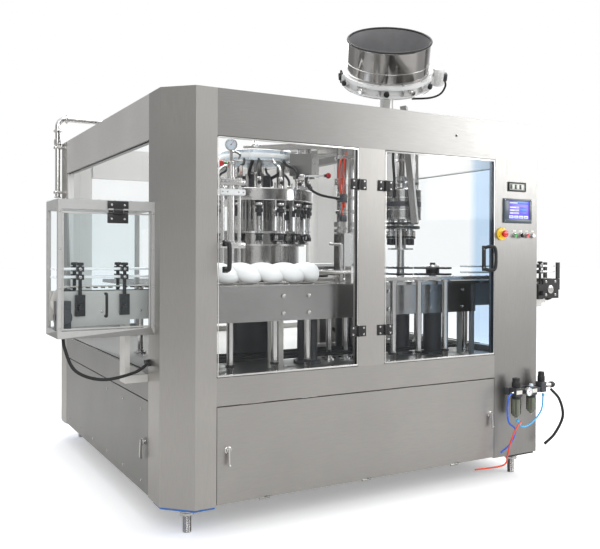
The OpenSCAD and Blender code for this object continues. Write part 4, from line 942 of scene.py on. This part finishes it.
def conveyors():
    chain = Part("slat_chains", "cabinet", ("conveyor_chains",))
    top = span("conveyor_chains")[1].z
    radius = 80
    y = BELT_Y
    for ends, reach in (((-395, 1120), 47), ((2045, 2950), 66)):
        slat_chain(chain, ends, top, radius, y, 84)
        for x, half in ((ends[0], 47), (ends[1], reach)):
            chain.rod((x, y - half, top - radius), (x, y + half, top - radius), 11.9, "turned", 24)
            for dy in (-26, 26):
                disc = [(14, -7), (56, -6), (64, -4), (64, 4), (56, 6), (14, 7)]
                chain.lathe((x, y + dy, top - radius), BACK, disc, "nylon", 40)
    chain.done()
    bolts = Part("conveyor_bolts")
    for x0, x1 in ((-440, -40), (2540, 2860)):
        for i in range(5):
            x = x0 + (x1 - x0) * i / 4
            for side in (-1, 1):
                bolts.bolt((x, y + side * 50, 1040 if i % 2 else 975), (0, side, 0), 5)
    for x in (-352, -128, 2560, 2850):
        for side in (-1, 1):
            post = (x, y + side * 62)
            cap = [(15, -14), (18, -12), (18, -3), (14, 1), (0, 1.5)]
            bolts.lathe((*post, 1222), UP, cap, "black", 12)
            for z in (1150, 1190):
                bolts.bolt((x, y + side * 72, z), (0, side, 0), 6, "turned")
            knob = [(13, -2), (16, 0), (16, 9), (12, 12), (0, 12)]
            bolts.lathe((x, y + side * 92, 1000), (0, side, 0), knob, "black", 9)
    for x in (2908, 3000):
        for side in (-1, 1):
            bolts.bolt((x, y + side * 66, 985), (0, side, 0), 7)
            bolts.bolt((x, y + side * 66, 1078), (0, side, 0), 7)
    for side in (-1, 1):
        flange = [(30, -1), (30, 5), (26, 8), (15, 9), (12.2, 9)]
        bolts.lathe((2950, y + side * 66, top - radius), (0, side, 0), flange, "turned", 32)
    bolts.lathe((-440, 262, 955), FRONT, [(41, -30), (42, -28), (42, -4), (36, 4), (0, 5)], "cast", 36)
    bolts.done()


def wheel_details():
    """Hubs, clamping rings and bolts on the star wheels."""
    rise = [(44, -1), (44, 6), (40, 10), (30, 12), (27, 17), (0, 17)]
    for node, share in (("infeed_star", 0.22), ("transfer_star", 0.36), ("exit_star", 0.22)):
        lo, hi = span(node)
        x, y = (lo.x + hi.x) / 2, (lo.y + hi.y) / 2
        hub = Part(f"{node}_hub", node)
        hub.lathe((x, y, 1184), UP, rise, "turned", 40)
        hub.bolts((x, y), 35, 3, 20, 1192, 4.5)
        hub.bolts((x, y), (hi.x - lo.x) * share, 6, 15, 1184, 5)
        hub.done()


def deck_details():
    bolts = Part("deck_bolts")
    for x in (700, 860):
        for z in (945, 1040):
            bolts.bolt((x, 130, z), FRONT, 8)
    for x in (1520, 1850, 2120):
        for z in (930, 1040):
            bolts.bolt((x, 284, z), FRONT, 8)
    for x in range(110, 1260, 160):
        bolts.bolt((x, 165, TABLE_TOP), UP, 6)
    for x in range(1370, 2400, 140):
        bolts.bolt((x, 165, 1132), UP, 6)
    y = 200
    for x in (412, 680, 890, 1219, 1488, 1683, 1894, 2300):
        top = 1112 if x > 1333 else TABLE_TOP - 20
        bolts.lathe((x, y, top - 16), UP, [(19.5, 0), (27, 2), (27, 14), (25, 15.8)], "turned", 32)
        bolts.lathe((x, y, 660), UP, [(19.5, 0), (24, 1.5), (24, 14), (19.5, 16)], "black", 32)
        bolts.bolts((x, y), 36, 4, 45, 617, 5)
    bolts.done()
    lines = Part("under_deck_lines")
    for y in (520, 640, 760):
        path = [(120, y, 640), (380, y - 40, 655), (700, y + 30, 640)]
        path += [(1180, y - 20, 650), (1700, y + 20, 640), (2330, y, 640)]
        lines.tube(path, 11, "rubber", 10, 8)
    for x in (500, 1000, 1560, 2080):
        lines.box((x, 1180, 625), (x + 210, 1330, 860), "panel", 4)
        drop = [(x + 60, 1180, 720), (x + 60, 1080, 730), (x + 80, 980, 650), (x + 60, 860, 640)]
        lines.tube(drop, 12, "rubber", 10, 6)
    lines.done()


# ---------- filler ----------

FILLER = (935, 965)
VALVE_R = 350
VALVE_COUNT = 16


def turned_about(c, angle):
    return Matrix.Translation((c[0], c[1], 0)) @ Matrix.Rotation(angle, 4, "Z")


def spring_profile(r, wire, z0, z1, turns):
    """Stacked coils, as a corrugated sleeve."""
    profile = []
    for i in range(turns):
        z = z0 + (z1 - z0) * i / turns
        pitch = (z1 - z0) / turns
        profile += [(r - wire, z), (r, z + pitch * 0.3), (r, z + pitch * 0.6), (r - wire, z + pitch * 0.9)]
    return profile


def filling_valves():
    """Sixteen valves: steel body, black sleeve, spring, centring bell and its guide rods."""
    valves = Part("filling_valve_set", "filler", ("filler_valves",), "valve_steel")
    for i in range(VALVE_COUNT):
        valves.local = turned_about(FILLER, 2 * pi * i / VALVE_COUNT)
        at = (VALVE_R, 0, 0)
        body = [(12, 1500), (15, 1504), (15, 1520), (24, 1524), (24, 1546)]
        body += [(20, 1549), (20, 1556), (25, 1559), (25, VALVE_RING)]
        valves.lathe(at, UP, body, "black", 24)
        valves.lathe(at, UP, [(25.4, 1566), (26, 1568), (26, 1580), (25.4, 1582)], "turned", 24)
        valves.lathe(at, UP, spring_profile(12, 2.5, 1444, 1504, 11), "turned", 16)
        valves.lathe(at, UP, [(7.5, 1386), (7.5, 1446)], "polished", 16)
        valves.lathe(at, UP, [(9, 1408), (15, 1410), (15, 1420), (9, 1422)], "turned", 20)
        bell = [(9, 1352), (18, 1352), (20, 1358), (20, 1376), (12, 1388), (8, 1394)]
        valves.lathe(at, UP, bell, "black", 24)
        valves.box((VALVE_R - 16, -25, 1384), (VALVE_R + 10, 25, 1396), "black", 2)
        valves.box((VALVE_R - 26, -23, 1500), (VALVE_R - 10, 23, 1540), "cast", 2)
        for y in (-19, 19):
            valves.rod((VALVE_R, y, 1362), (VALVE_R, y, 1560), 4.5, "polished", 12, 0.5)
            valves.bolt((VALVE_R, y, 1362), DOWN, 4)
            valves.lathe((VALVE_R, y, 1548), UP, [(5, 0), (8, 1), (8, 12), (5, 13)], "turned", 14)
    valves.local = Matrix.Identity(4)
    valves.done()


def filler_fittings():
    """Cam followers and hoses above the ring, neck clamps below, and the tank's banding."""
    top = Part("filler_hoses", "filler")
    for i in range(VALVE_COUNT):
        top.local = turned_about(FILLER, 2 * pi * i / VALVE_COUNT)
        stem = [(15, 1671), (19, 1673), (19, 1686), (13, 1690)]
        stem += [(13, 1722), (16, 1724), (16, 1736), (11, 1740)]
        top.lathe((VALVE_R, 0, 0), UP, stem, "turned", 20)
        top.lathe((VALVE_R, 0, 1706), RIGHT, [(11, 10), (12, 12), (12, 24), (10, 26)], "black", 16)
        hose = [(VALVE_R, 0, 1738), (348, 0, 1775), (312, 6, 1812), (262, 10, 1830), (228, 4, 1866)]
        top.tube(hose, 8.5, "rubber" if i % 3 else "turned", 10, 6)
        top.bolt((300, 22, 1671), UP, 6)
        top.rod((322, -24, 1671), (322, -24, 1712), 6, "polished", 12)
        for y in (-24, 14):
            top.box((VALVE_R - 58, y, 1330), (VALVE_R - 9, y + 10, 1350), "black", 2)
        top.bolt((VALVE_R - 40, 0, 1344), UP, 6)
        top.bolt((285, 0, 1372), RIGHT, 5)
    top.local = turned_about(FILLER, 0)
    bands = ((1923, 231, 4, 72), (1860, 231, 5, 72), (1600, 374, 3.5, 96), (1669, 373, 3.5, 96))
    for z, r, thick, steps in bands:
        top.hoop((0, 0, z), UP, r, thick, "turned", steps)
    top.lathe((0, 0, 0), UP, [(235.6, 1876), (236.6, 1878), (236.6, 1902), (235.6, 1904)], "white", 72)
    top.lathe((0, 0, 0), UP, [(296, 1396), (303, 1398), (303, 1410), (296, 1413)], "turned", 72)
    top.bolts((0, 0), 262, 12, 8, 1609, 8)
    neck = [(126, 1609), (150, 1612), (150, 1650), (118, 1668), (96, 1700), (70, 1712), (70, 1790)]
    top.lathe((0, 0, 0), UP, neck, "turned", 48)
    for i in range(4):
        top.local = turned_about(FILLER, pi / 4 + i * pi / 2)
        top.box((66, -14, 1700), (104, 14, 1782), "cast", 4)
        top.tube([(104, 0, 1760), (150, 8, 1786), (178, 30, 1826), (186, 44, 1862)], 11, "rubber", 10, 6)
        plug = [(17, 0), (17, 6), (11, 8), (11, 26), (15, 28), (15, 34), (0, 36)]
        top.lathe((160, 60, 1921), UP, plug, "turned", 20)
    top.local = Matrix.Identity(4)
    top.done()


def bridge_fittings():
    """Collars, bolts and pipework on the fixed column, bridge, gear cover and guide post."""
    part = Part("bridge_fittings")
    for z, r in ((1404, 84), (1520, 74), (1604, 74), (1860, 80)):
        ring = [(66.5, 0), (r, 2), (r, 20), (r - 3, 23), (66.5, 24)]
        part.lathe((*BRIDGE_COLUMN, z), UP, ring, "turned", 48)
        part.bolts(BRIDGE_COLUMN, r - 9, 8, 11, z + 23, 4)
    base = [(60, 0), (92, 0), (92, 14), (88, 18), (60, 18)]
    part.lathe((*BRIDGE_COLUMN, 1100), UP, base, "turned", 40)
    turn = atan2(FILLER[1] - BRIDGE_COLUMN[1], FILLER[0] - BRIDGE_COLUMN[0])
    part.local = Matrix.Translation((*BRIDGE_MIDDLE, 0)) @ Matrix.Rotation(turn, 4, "Z")
    arc = [pi * i / 8 for i in range(9)]
    outline = [(-80, 1766)] + [(-cos(t) * 80, 1830 + sin(t) * 76) for t in arc] + [(80, 1766)]
    part.slab(*[[(x, y, z) for y, z in outline] for x in (-74, 74)], "frame")
    for y in (-60, 0, 60):
        for z in (1785, 1845):
            part.bolt((-74, y, z), LEFT, 5)
            part.bolt((74, y, z), RIGHT, 5)
    part.local = Matrix.Identity(4)
    part.lathe((*BRIDGE_MIDDLE, 1904), UP, [(52, 0), (52, 6), (44, 9), (44, 30)], "turned", 36)
    for z in (1300, 1603, 1660):
        face = "white" if z == 1603 else "turned"
        x, y = GUIDE_POST
        part.box((x - 78, y - 31, z + 4), (x + 78, y - 27, z + 30), face, 1.5)
        for dx in (-64, -34, 34, 64):
            part.screw((GUIDE_POST[0] + dx, GUIDE_POST[1] - 31, z + 17), FRONT, 5)
        for dx, r in ((-52, 17), (0, 29), (52, 17)):
            cup = [(r - 6, 0), (r, 1), (r, 9), (r - 6, 10)]
            part.lathe((GUIDE_POST[0] + dx, GUIDE_POST[1], z + 34), UP, cup, "turned", 24)
    foot = [(22, 0), (48, 0), (48, 10), (32, 14), (32, 34), (22.2, 36)]
    part.lathe((*GUIDE_POST, 1100), UP, foot, "turned", 32)
    for path, r, paint, steps in (
        (((*GUIDE_POST, 1850), (560, 470, 1856), (620, 530, 1850), (660, 640, 1842)), 7, "turned", 10),
        (((1120, 600, 1765), (1090, 560, 1700), (1150, 520, 1640), (1290, 470, 1610)), 8, "rubber", 10),
        (
            ((1300, 470, 1880), (1265, 455, 1820), (1262, 450, 1700), (1285, 455, 1600), (1292, 470, 1500)),
            7, "tube_red", 12,
        ),
        (((1308, 452, 1900), (1282, 436, 1800), (1278, 436, 1680), (1300, 448, 1560)), 6, "tube_red", 12),
        (((1400, 450, 1900), (1440, 440, 1800), (1436, 440, 1700), (1400, 450, 1620)), 6, "rubber", 12),
    ):
        part.tube(path, r, paint, steps, 8)
    part.box((1262, 424, 1590), (1300, 452, 1640), "cast", 3)
    part.box((1258, 420, 1470), (1296, 448, 1510), "cast", 3)
    part.rod((1240, 395, 1104), (1240, 395, 1330), 13, "polished", 24)
    part.rod((1240, 395, 1330), (1170, 420, 1330), 9, "polished", 20)
    part.done()


def ball_levers():
    for node, hub, reach, rise, collar in (
        ("left_ball_lever", (*GUIDE_POST, 1778.5), -62, -4, "green"),
        ("right_ball_lever", (1075, 590, 1745), 190, 14, "rubber"),
    ):
        r = 24 if reach < 0 else 22
        hole = 9.06 if reach < 0 else 10.06
        lever = Part(f"{node}_knob", node, (node,))
        side = 1 if reach > 0 else -1
        ring = [(hole, 0.3), (r - 2, 0.3), (r, 2), (r, 14), (r - 2, 16), (hole, 16)]
        lever.lathe(hub, UP, ring, "turned", 32, closed=True)
        start = Vector(hub) + Vector((side * (r - 3), 0, 8))
        stop = Vector(hub) + Vector((reach, 0, 8 + rise))
        lever.rod(start, stop, 6, "white" if reach > 0 else "turned", 18)
        way = (stop - start).normalized()
        lever.rod(stop - way * 34, stop - way * 14, 9, collar, 20)
        lever.ball(stop, 19, "red", 1.0, 28)
        lever.done()


# ---------- capper and cap sorter ----------

CAPPER = (1845, 600)


def capper_fittings():
    part = Part("capper_bands")
    for z in (1502, 1560, 1640, 1690):
        part.lathe((*CAPPER, z), UP, [(134, 0), (138, 1.5), (138, 7), (134, 8.5)], "turned", 64)
    part.lathe((*CAPPER, 1586), UP, [(134.8, 0), (136.5, 1), (136.5, 32), (134.8, 33)], "cast", 64)
    lid = [(132, 0), (122, 8), (84, 16), (66, 18), (66, 46), (40, 50)]
    part.lathe((*CAPPER, 1697), UP, lid, "turned", 56)
    part.bolts(CAPPER, 106, 10, 9, 1708, 6)
    for z, r, high in ((1760, 46, 32), (1890, 40, 22)):
        part.lathe((*CAPPER, z), UP, [(27.5, 0), (r, 2), (r, high - 2), (27.5, high)], "turned", 32)
    part.lathe((*CAPPER, 2030), UP, [(27.5, 0), (60, 4), (60, 19)], "turned", 32)
    part.box((1962, 560, 1560), (1990, 640, 1680), "cast", 4)
    part.rod((1979, 600, 1600), (1979, 600, 1990), 13, "polished", 24)
    part.box((1900, 586, 1742), (1990, 614, 1762), "turned", 3)
    hose = [(1760, 560, 1990), (1720, 520, 1900), (1716, 500, 1760), (1726, 520, 1640)]
    part.tube(hose, 9, "rubber", 12, 8)
    part.done()
    plate = Part("capper_plate", "capper")
    rim = [(60, 1458), (126, 1458), (128.6, 1456), (128.6, 1442), (126, 1440), (60, 1440)]
    plate.lathe((*CAPPER, 0), UP, rim, "nylon", 64, closed=True)
    plate.bolts(CAPPER, 50, 6, 18, 1184, 5)
    plate.done()
    for number in range(1, 5):
        node = f"capping_head_{number}"
        lo, hi = span(node)
        c = (lo + hi) / 2
        head = Part(f"{node}_sleeve", node)
        head.lathe((c.x, c.y, 0), UP, [(31.9, 1377), (33, 1379), (33, 1388), (31.9, 1390)], "black", 32)
        head.lathe((c.x, c.y, 0), UP, spring_profile(34, 3, 1392, 1424, 5), "polished", 32)
        for spot, _ in around((c.x, c.y), 22.3, 10, 0, 1334):
            head.box(spot - Vector((1.5, 1.5, 0)), spot + Vector((1.5, 1.5, 36)), "black", 1)
        head.done()


def sorter_frame():
    """Matrix of the sorter's tilted frame, taken from its joint's axis."""
    joint = next(j for j in frame["joints"] if j["child"] == "sorter_disc")
    axis = Vector(joint["axis"]).normalized()
    at = (Vector(joint["pos_m"]) - ORIGIN) * 1000
    turn = Matrix.Rotation(atan2(axis.x, -axis.y), 4, "Z")
    return Matrix.Translation(at) @ turn @ Matrix.Rotation(acos(axis.z), 4, "X")


def cap_sorter():
    local = sorter_frame()
    drum = Part("sorter_drum", "cabinet", ("sorter_bowl",), local=local)
    high, r = 214, 277
    wall = [(273, 0), (281, 0), (281, 8), (277, 10), (277, high - 12), (281, high - 9)]
    wall += [(283, high - 3), (280, high), (274, high), (273, high - 8), (273, 12)]
    drum.lathe((0, 0, 0), UP, wall, "drum", 96, closed=True)
    # A thin darker skin inside the wall: painted shade inside the drum.
    matte_and_shade = [(272.9, 12), (272.9, high - 6), (272.3, high - 6), (272.3, 12)]
    drum.lathe((0, 0, 0), UP, matte_and_shade, "matte_and_shade", 96, closed=True)
    drum.hoop((0, 0, high - 1), UP, 278, 7, "rubber", 96)
    drum.hoop((0, 0, 70), UP, r + 0.5, 1.8, "turned", 96)
    drum.box((r - 1, -5, 10), (r + 1.5, 5, high - 12), "turned", 0.8)
    for i in range(12):
        angle = 2 * pi * i / 12
        inward = Vector((-cos(angle), -sin(angle), 0))
        drum.screw(Vector((0, 0, 22)) - inward * (r - 3.5), inward, 5)
    drum.done()
    base = Part("sorter_fittings", "cabinet", local=local)
    base.hoop((0, 0, -2), UP, 303, 3, "turned", 96)
    base.hoop((0, 0, -84), UP, 303, 4, "turned", 96)
    for i in range(12):
        angle = radians(i * 30 + 15)
        x, y = 296 * cos(angle), 296 * sin(angle)
        base.bolt((x, y, 0), UP, 7)
        base.lathe((x, y, -66), UP, [(9, 0), (10, 1), (10, 36), (9, 38)], "turned", 20)
    for i in range(5):
        angle = radians(200 + i * 32)
        aim = Vector((cos(angle), sin(angle), 0))
        spot = aim * 312 + Vector((0, 0, -46))
        plug = [(12, -6), (18, 0), (19, 4), (19, 15), (15, 19), (0, 21)]
        base.lathe(spot, aim, plug, "turned" if i % 2 else "rubber", 24)
    at = Vector((350, 0, -95))
    fins = [(34, 0), (40, 3)]
    for i in range(9):
        z = 12 + i * 10
        fins += [(37, z), (42, z + 2), (42, z + 5), (37, z + 7)]
    fins += [(40, 108), (36, 118), (0, 119)]
    base.lathe(at, UP, fins, "rail", 36)
    base.box((372, -22, -62), (410, 22, -14), "cast", 4)
    cable = [(398, 0, -60), (404, -14, -100), (372, -30, -150), (300, -40, -175), (180, -20, -190)]
    base.tube(cable, 7, "rubber", 10, 8)
    for y in (-24, 24):
        base.box((-322, y - 12, -74), (-282, y + 12, -4), "rubber", 4)
        base.lathe((-322, y, -40), LEFT, [(14, -4), (16, 0), (16, 10), (0, 12)], "rubber", 20)
    base.local = Matrix.Identity(4)
    pole = (1825, 739)
    base.bolts(pole, 70, 6, 30, 2076, 9)
    base.lathe((*pole, 2076), UP, [(45.5, 0), (60, 0), (60, 22), (45.5, 30)], "turned", 40)
    base.done()
    ribs = Part("sorter_ribs", "sorter_disc", local=local)
    cone = [(92, 0), (80, 10), (52, 36), (30, 54), (22, 60), (12, 64), (0, 65)]
    ribs.lathe((0, 0, -18), UP, cone, "matte_and_shade", 48)
    for i in range(24):
        angle = 2 * pi * i / 24
        ribs.screw((212 * cos(angle), 212 * sin(angle), -26), UP, 6)
    ribs.done()


# ---------- product pipe, infeed guard, drive ----------


def product_pipe():
    part = Part("product_pipe_run", "cabinet", ("product_pipe",))
    x, y, top = -34, 2400, 2290
    r, bend = 19, 60

    def quarter(a, b, c):
        """Points of a quarter turn from a to c round the corner b."""
        a, b, c = Vector(a), Vector(b), Vector(c)
        hub = a + c - b
        steps = [k * pi / 16 for k in range(9)]
        return [hub + (a - hub) * cos(t) + (c - hub) * sin(t) for t in steps]

    path = [Vector((x, y, 1690))]
    path += quarter((x, y, top - bend), (x, y, top), (x + bend, y, top))
    path += quarter((FILLER[0] - bend, y, top), (FILLER[0], y, top), (FILLER[0], y - bend, top))
    path += quarter((FILLER[0], FILLER[1] + bend, top), (*FILLER, top), (*FILLER, top - bend))
    path.append(Vector((*FILLER, 1990)))
    part.tube(path, r, "polished", 28, 0)
    half = [(33, 1.5), (31, 3), (25, 4), (24, 11), (19.2, 12)]
    clamp = [(radius, -along) for radius, along in half[::-1]] + half
    for spot, aim in (
        ((x, y, 2195), UP),
        ((x + bend + 6, y, top), RIGHT),
        ((420, y, top), RIGHT),
        ((FILLER[0], 1700, top), BACK),
        ((FILLER[0], FILLER[1], 2120), UP),
    ):
        part.lathe(spot, aim, clamp, "turned", 32)
    part.lathe((x, y, 1690), UP, [(19, 0), (26, 0), (26, 3), (20, 9), (19, 10)], "turned", 32)
    part.lathe((*FILLER, 1975), UP, [(34, 0), (34, 12), (28, 17), (19, 20)], "turned", 36)
    for z in (1720, 2060):
        part.box((x - 26, y - 26, z), (0, y + 26, z + 20), "turned", 4)
        part.screw((x - 12, y - 26, z + 10), FRONT, 5)
    body = [(20, -26), (26, -20), (28, 0), (26, 20), (20, 26)]
    part.lathe((x, y, 2110), UP, body, "turned", 32)
    part.rod((x, y - 26, 2110), (x, y - 52, 2110), 8, "turned")
    part.tube([(x, y - 50, 2110), (x - 4, y - 60, 2130), (x - 10, y - 70, 2190)], 7, "rubber", 12, 6, 0.6)
    part.done()


def infeed_details():
    """Hinge, catches and corner screws of the tunnel, and the clear sheets' edging."""
    part = Part("infeed_fittings")
    lo = span("infeed_guard")[0]
    for x in (lo.x + 9, -9):
        for z in (905, 1100, 1290, 1470):
            part.screw((x, 215, z), FRONT, 5)
            part.screw((x, 500, z), BACK, 5)
    part.box((-242, 207, 1488), (-138, 215, 1528), "black", 2)
    for x in (-222, -158):
        part.screw((x, 207, 1508), FRONT, 6)
    for x in (-240, -165):
        part.rod((x, 206, 1477), (x + 25, 206, 1477), 6.3, "black")
    for x in range(-440, -30, 80):
        part.screw((x, 230, 1530), UP, 5)
        part.screw((x, 485, 1530), UP, 5)
    part.box((lo.x + 8, 246, 880), (lo.x + 14, 469, 893), "rubber", 1)
    part.done()
    door = Part("guard_door_edges", "guard_door")
    low, high = span("guard_door")
    sheet = (low.x, 897, high.x, 1470)
    door.border(sheet, (low.x + 8, 905, high.x - 8, 1462), 219.5, 222, "guard_frame", 0.5)
    door.box((-242, 211, 1418), (-138, 219, 1466), "black", 2)
    door.rod((-213, 206, 1477), (-167, 206, 1477), 6.3, "black")
    for x in (-222, -158):
        door.screw((x, 211, 1440), FRONT, 6)
    grip = ((219, 960), (196, 962), (192, 990), (192, 1040), (196, 1068), (219, 1070))
    door.tube([(-250, y, z) for y, z in grip], 7, "black", 14, 6)
    door.done()


def drive_details():
    part = Part("drive_fittings")
    x, z = 599.86, 210
    for i in range(16):
        y = 1356 + i * 15
        part.lathe((x, y, z), BACK, [(88, 0), (98, 1), (98, 4), (88, 5)], "cast", 48)
    cowl = [(92, 1611), (92, 1660), (80, 1672), (30, 1673), (0, 1673)]
    part.lathe((x, 0, z), BACK, cowl, "cast", 40)
    part.box((x + 60, 1398, z - 40), (x + 126, 1544, z + 40), "cast", 5)
    for dy in (-70, 0, 70):
        for side in (-1, 1):
            part.bolt((x + side * 105, 1246 + dy, 300), (side, 0, 0), 8)
    part.box((330, 1600, 90), (560, 1900, 430), "panel", 5)
    cable = [(x + 126, 1470, z), (x + 180, 1500, z + 10), (640, 1720, 120), (560, 1760, 140)]
    part.tube(cable, 10, "rubber", 10, 8)
    part.done()
    z = 530
    for node, axis_at, r in (("filler", FILLER, 60), ("capper", CAPPER, 25)):
        hub = Part(f"{node}_gear_hub", node)
        hub.lathe((*axis_at, z), UP, [(r, 0), (r + 34, 0), (r + 34, 14), (r + 30, 18), (r, 18)], "gear", 36)
        hub.bolts(axis_at, r + 20, 6, 0, z + 18, 5)
        hub.done()


# ---------- stage, light and camera ----------


def studio():
    """Pale floor that shows mid-grey in reflections (painted shade), white surround, and soft bands of light
    and shade that the polished parts mirror.
    """
    floor_mesh = bpy.data.meshes.new("floor")
    size = 60
    corners = [(-size, -size, 0), (size, -size, 0), (size, size, 0), (-size, size, 0)]
    floor_mesh.from_pydata(corners, [], [(0, 1, 2, 3)])
    floor = bpy.data.objects.new("floor", floor_mesh)
    scene.collection.objects.link(floor)
    n = material("floor_paper")
    paper = n.mix(n.between(n.noise(0.7), 0.0, 1.0), (0.93, 0.93, 0.93, 1), (0.95, 0.95, 0.95, 1))
    # Seen in reflections the floor turns mid-grey: painted shade in the mirrored floor.
    mirrored = n.add("ShaderNodeLightPath")["Is Glossy Ray"]
    tone = n.mix(mirrored, paper, (0.50, 0.49, 0.48, 1))
    floor_mesh.materials.append(
        n.principled(
            Base_Color=tone,
            Roughness=0.8,
            Specular_IOR_Level=0.1,
            Emission_Color=tone,
            Emission_Strength=0.32,
        )
    )

    scene.world = bpy.data.worlds.new("studio")
    n = Nodes(scene.world, "ShaderNodeOutputWorld")
    parts = n.add("ShaderNodeSeparateXYZ", (0, n.coordinates["Generated"]))
    angle = n.add("ShaderNodeMath", (0, parts[1]), (1, parts[0]), mode=("operation", "ARCTAN2"))[0]
    ramp = n.tree.nodes.new("ShaderNodeValToRGB")
    n.tree.links.new(n.between(angle, 0.0, 1.0, -pi, pi), ramp.inputs[0])
    bands = (
        (0.00, 0.50), (0.045, 0.32), (0.08, 0.26), (0.125, 0.40), (0.155, 1.15), (0.205, 1.15), (0.225, 0.30),
        (0.26, 0.22), (0.30, 0.62), (0.36, 0.80), (0.40, 1.20), (0.45, 1.20), (0.47, 0.25), (0.52, 0.20),
        (0.56, 0.60), (0.63, 1.05), (0.68, 0.40), (0.74, 0.30), (0.80, 0.38), (0.86, 0.50), (0.92, 0.60),
        (1.0, 0.50),
    )
    stops = ramp.color_ramp.elements
    for stop, (position, value) in zip(stops, (bands[0], bands[-1])):
        stop.position = position
        stop.color = shade((1, 1, 1), value)
    for position, value in bands[1:-1]:
        stops.new(position).color = shade((1, 1, 1), value)
    height = n.between(parts[2], 0.0, 1.0, 0.25, 0.75)
    mirrored = n.mix(height, ramp.outputs[0], (1.05, 1.05, 1.05, 1))
    path = n.add("ShaderNodeLightPath")
    ambient = n.mix(path["Is Glossy Ray"], (0.80, 0.81, 0.83, 1), mirrored)
    seen = n.mix(path["Is Camera Ray"], ambient, (1.0, 1.0, 1.0, 1))
    n.finish(n.add("ShaderNodeBackground", (0, seen), (1, 1.0))[0])

    for name, spot, aim, size, power in (
        ("key_left", (-3.0, -7.0, 4.6), (0, 0, 1.2), 3.5, 150),
        ("fill_right", (5.5, -5.0, 3.6), (0.3, -0.5, 1.2), 3.5, 170),
        ("overhead", (0.2, 0.6, 6.2), (0, 0, 1.0), 4.0, 240),
        ("inside_left", (-0.3, 0.1, 2.22), (-0.3, 0.0, 1.0), 0.9, 9),
        ("inside_right", (0.65, -0.2, 2.22), (0.6, -0.3, 1.0), 0.7, 7),
        ("rim_back", (3.5, 5.5, 4.0), (0, 0, 1.4), 3.5, 150),
    ):
        lamp = bpy.data.lights.new(name, "AREA")
        lamp.size = size
        lamp.energy = power
        holder = bpy.data.objects.new(name, lamp)
        holder.location = spot
        holder.rotation_euler = (Vector(aim) - Vector(spot)).to_track_quat("-Z", "Y").to_euler()
        scene.collection.objects.link(holder)


def camera():
    """The photographer's place: left of the front, at eye level."""
    data = bpy.data.cameras.new("camera")
    data.sensor_width = 36
    data.lens = 44.9
    data.shift_y = -0.0303
    data.clip_start = 0.05
    data.clip_end = 200
    holder = bpy.data.objects.new("camera", data)
    yaw, pitch, roll = radians(29.5), radians(-0.19), radians(0.21)
    aim = Matrix.Rotation(-yaw, 4, "Z") @ Matrix.Rotation(pi / 2 + pitch, 4, "X")
    spot = Matrix.Translation(place((-1231, -3460, 1270)))
    holder.matrix_world = spot @ aim @ Matrix.Rotation(roll, 4, "Z")
    scene.collection.objects.link(holder)
    scene.camera = holder


dress_frame()
dress_machine()
window_frames()
cabinet_bolts()
hinges()
door_handles()
latches()
feet()
operator_panel()
push_buttons()
air_service()
timing_screw()
conveyors()
wheel_details()
deck_details()
filling_valves()
filler_fittings()
bridge_fittings()
ball_levers()
capper_fittings()
cap_sorter()
product_pipe()
infeed_details()
drive_details()
studio()
camera()
scene.view_settings.view_transform = "Standard"
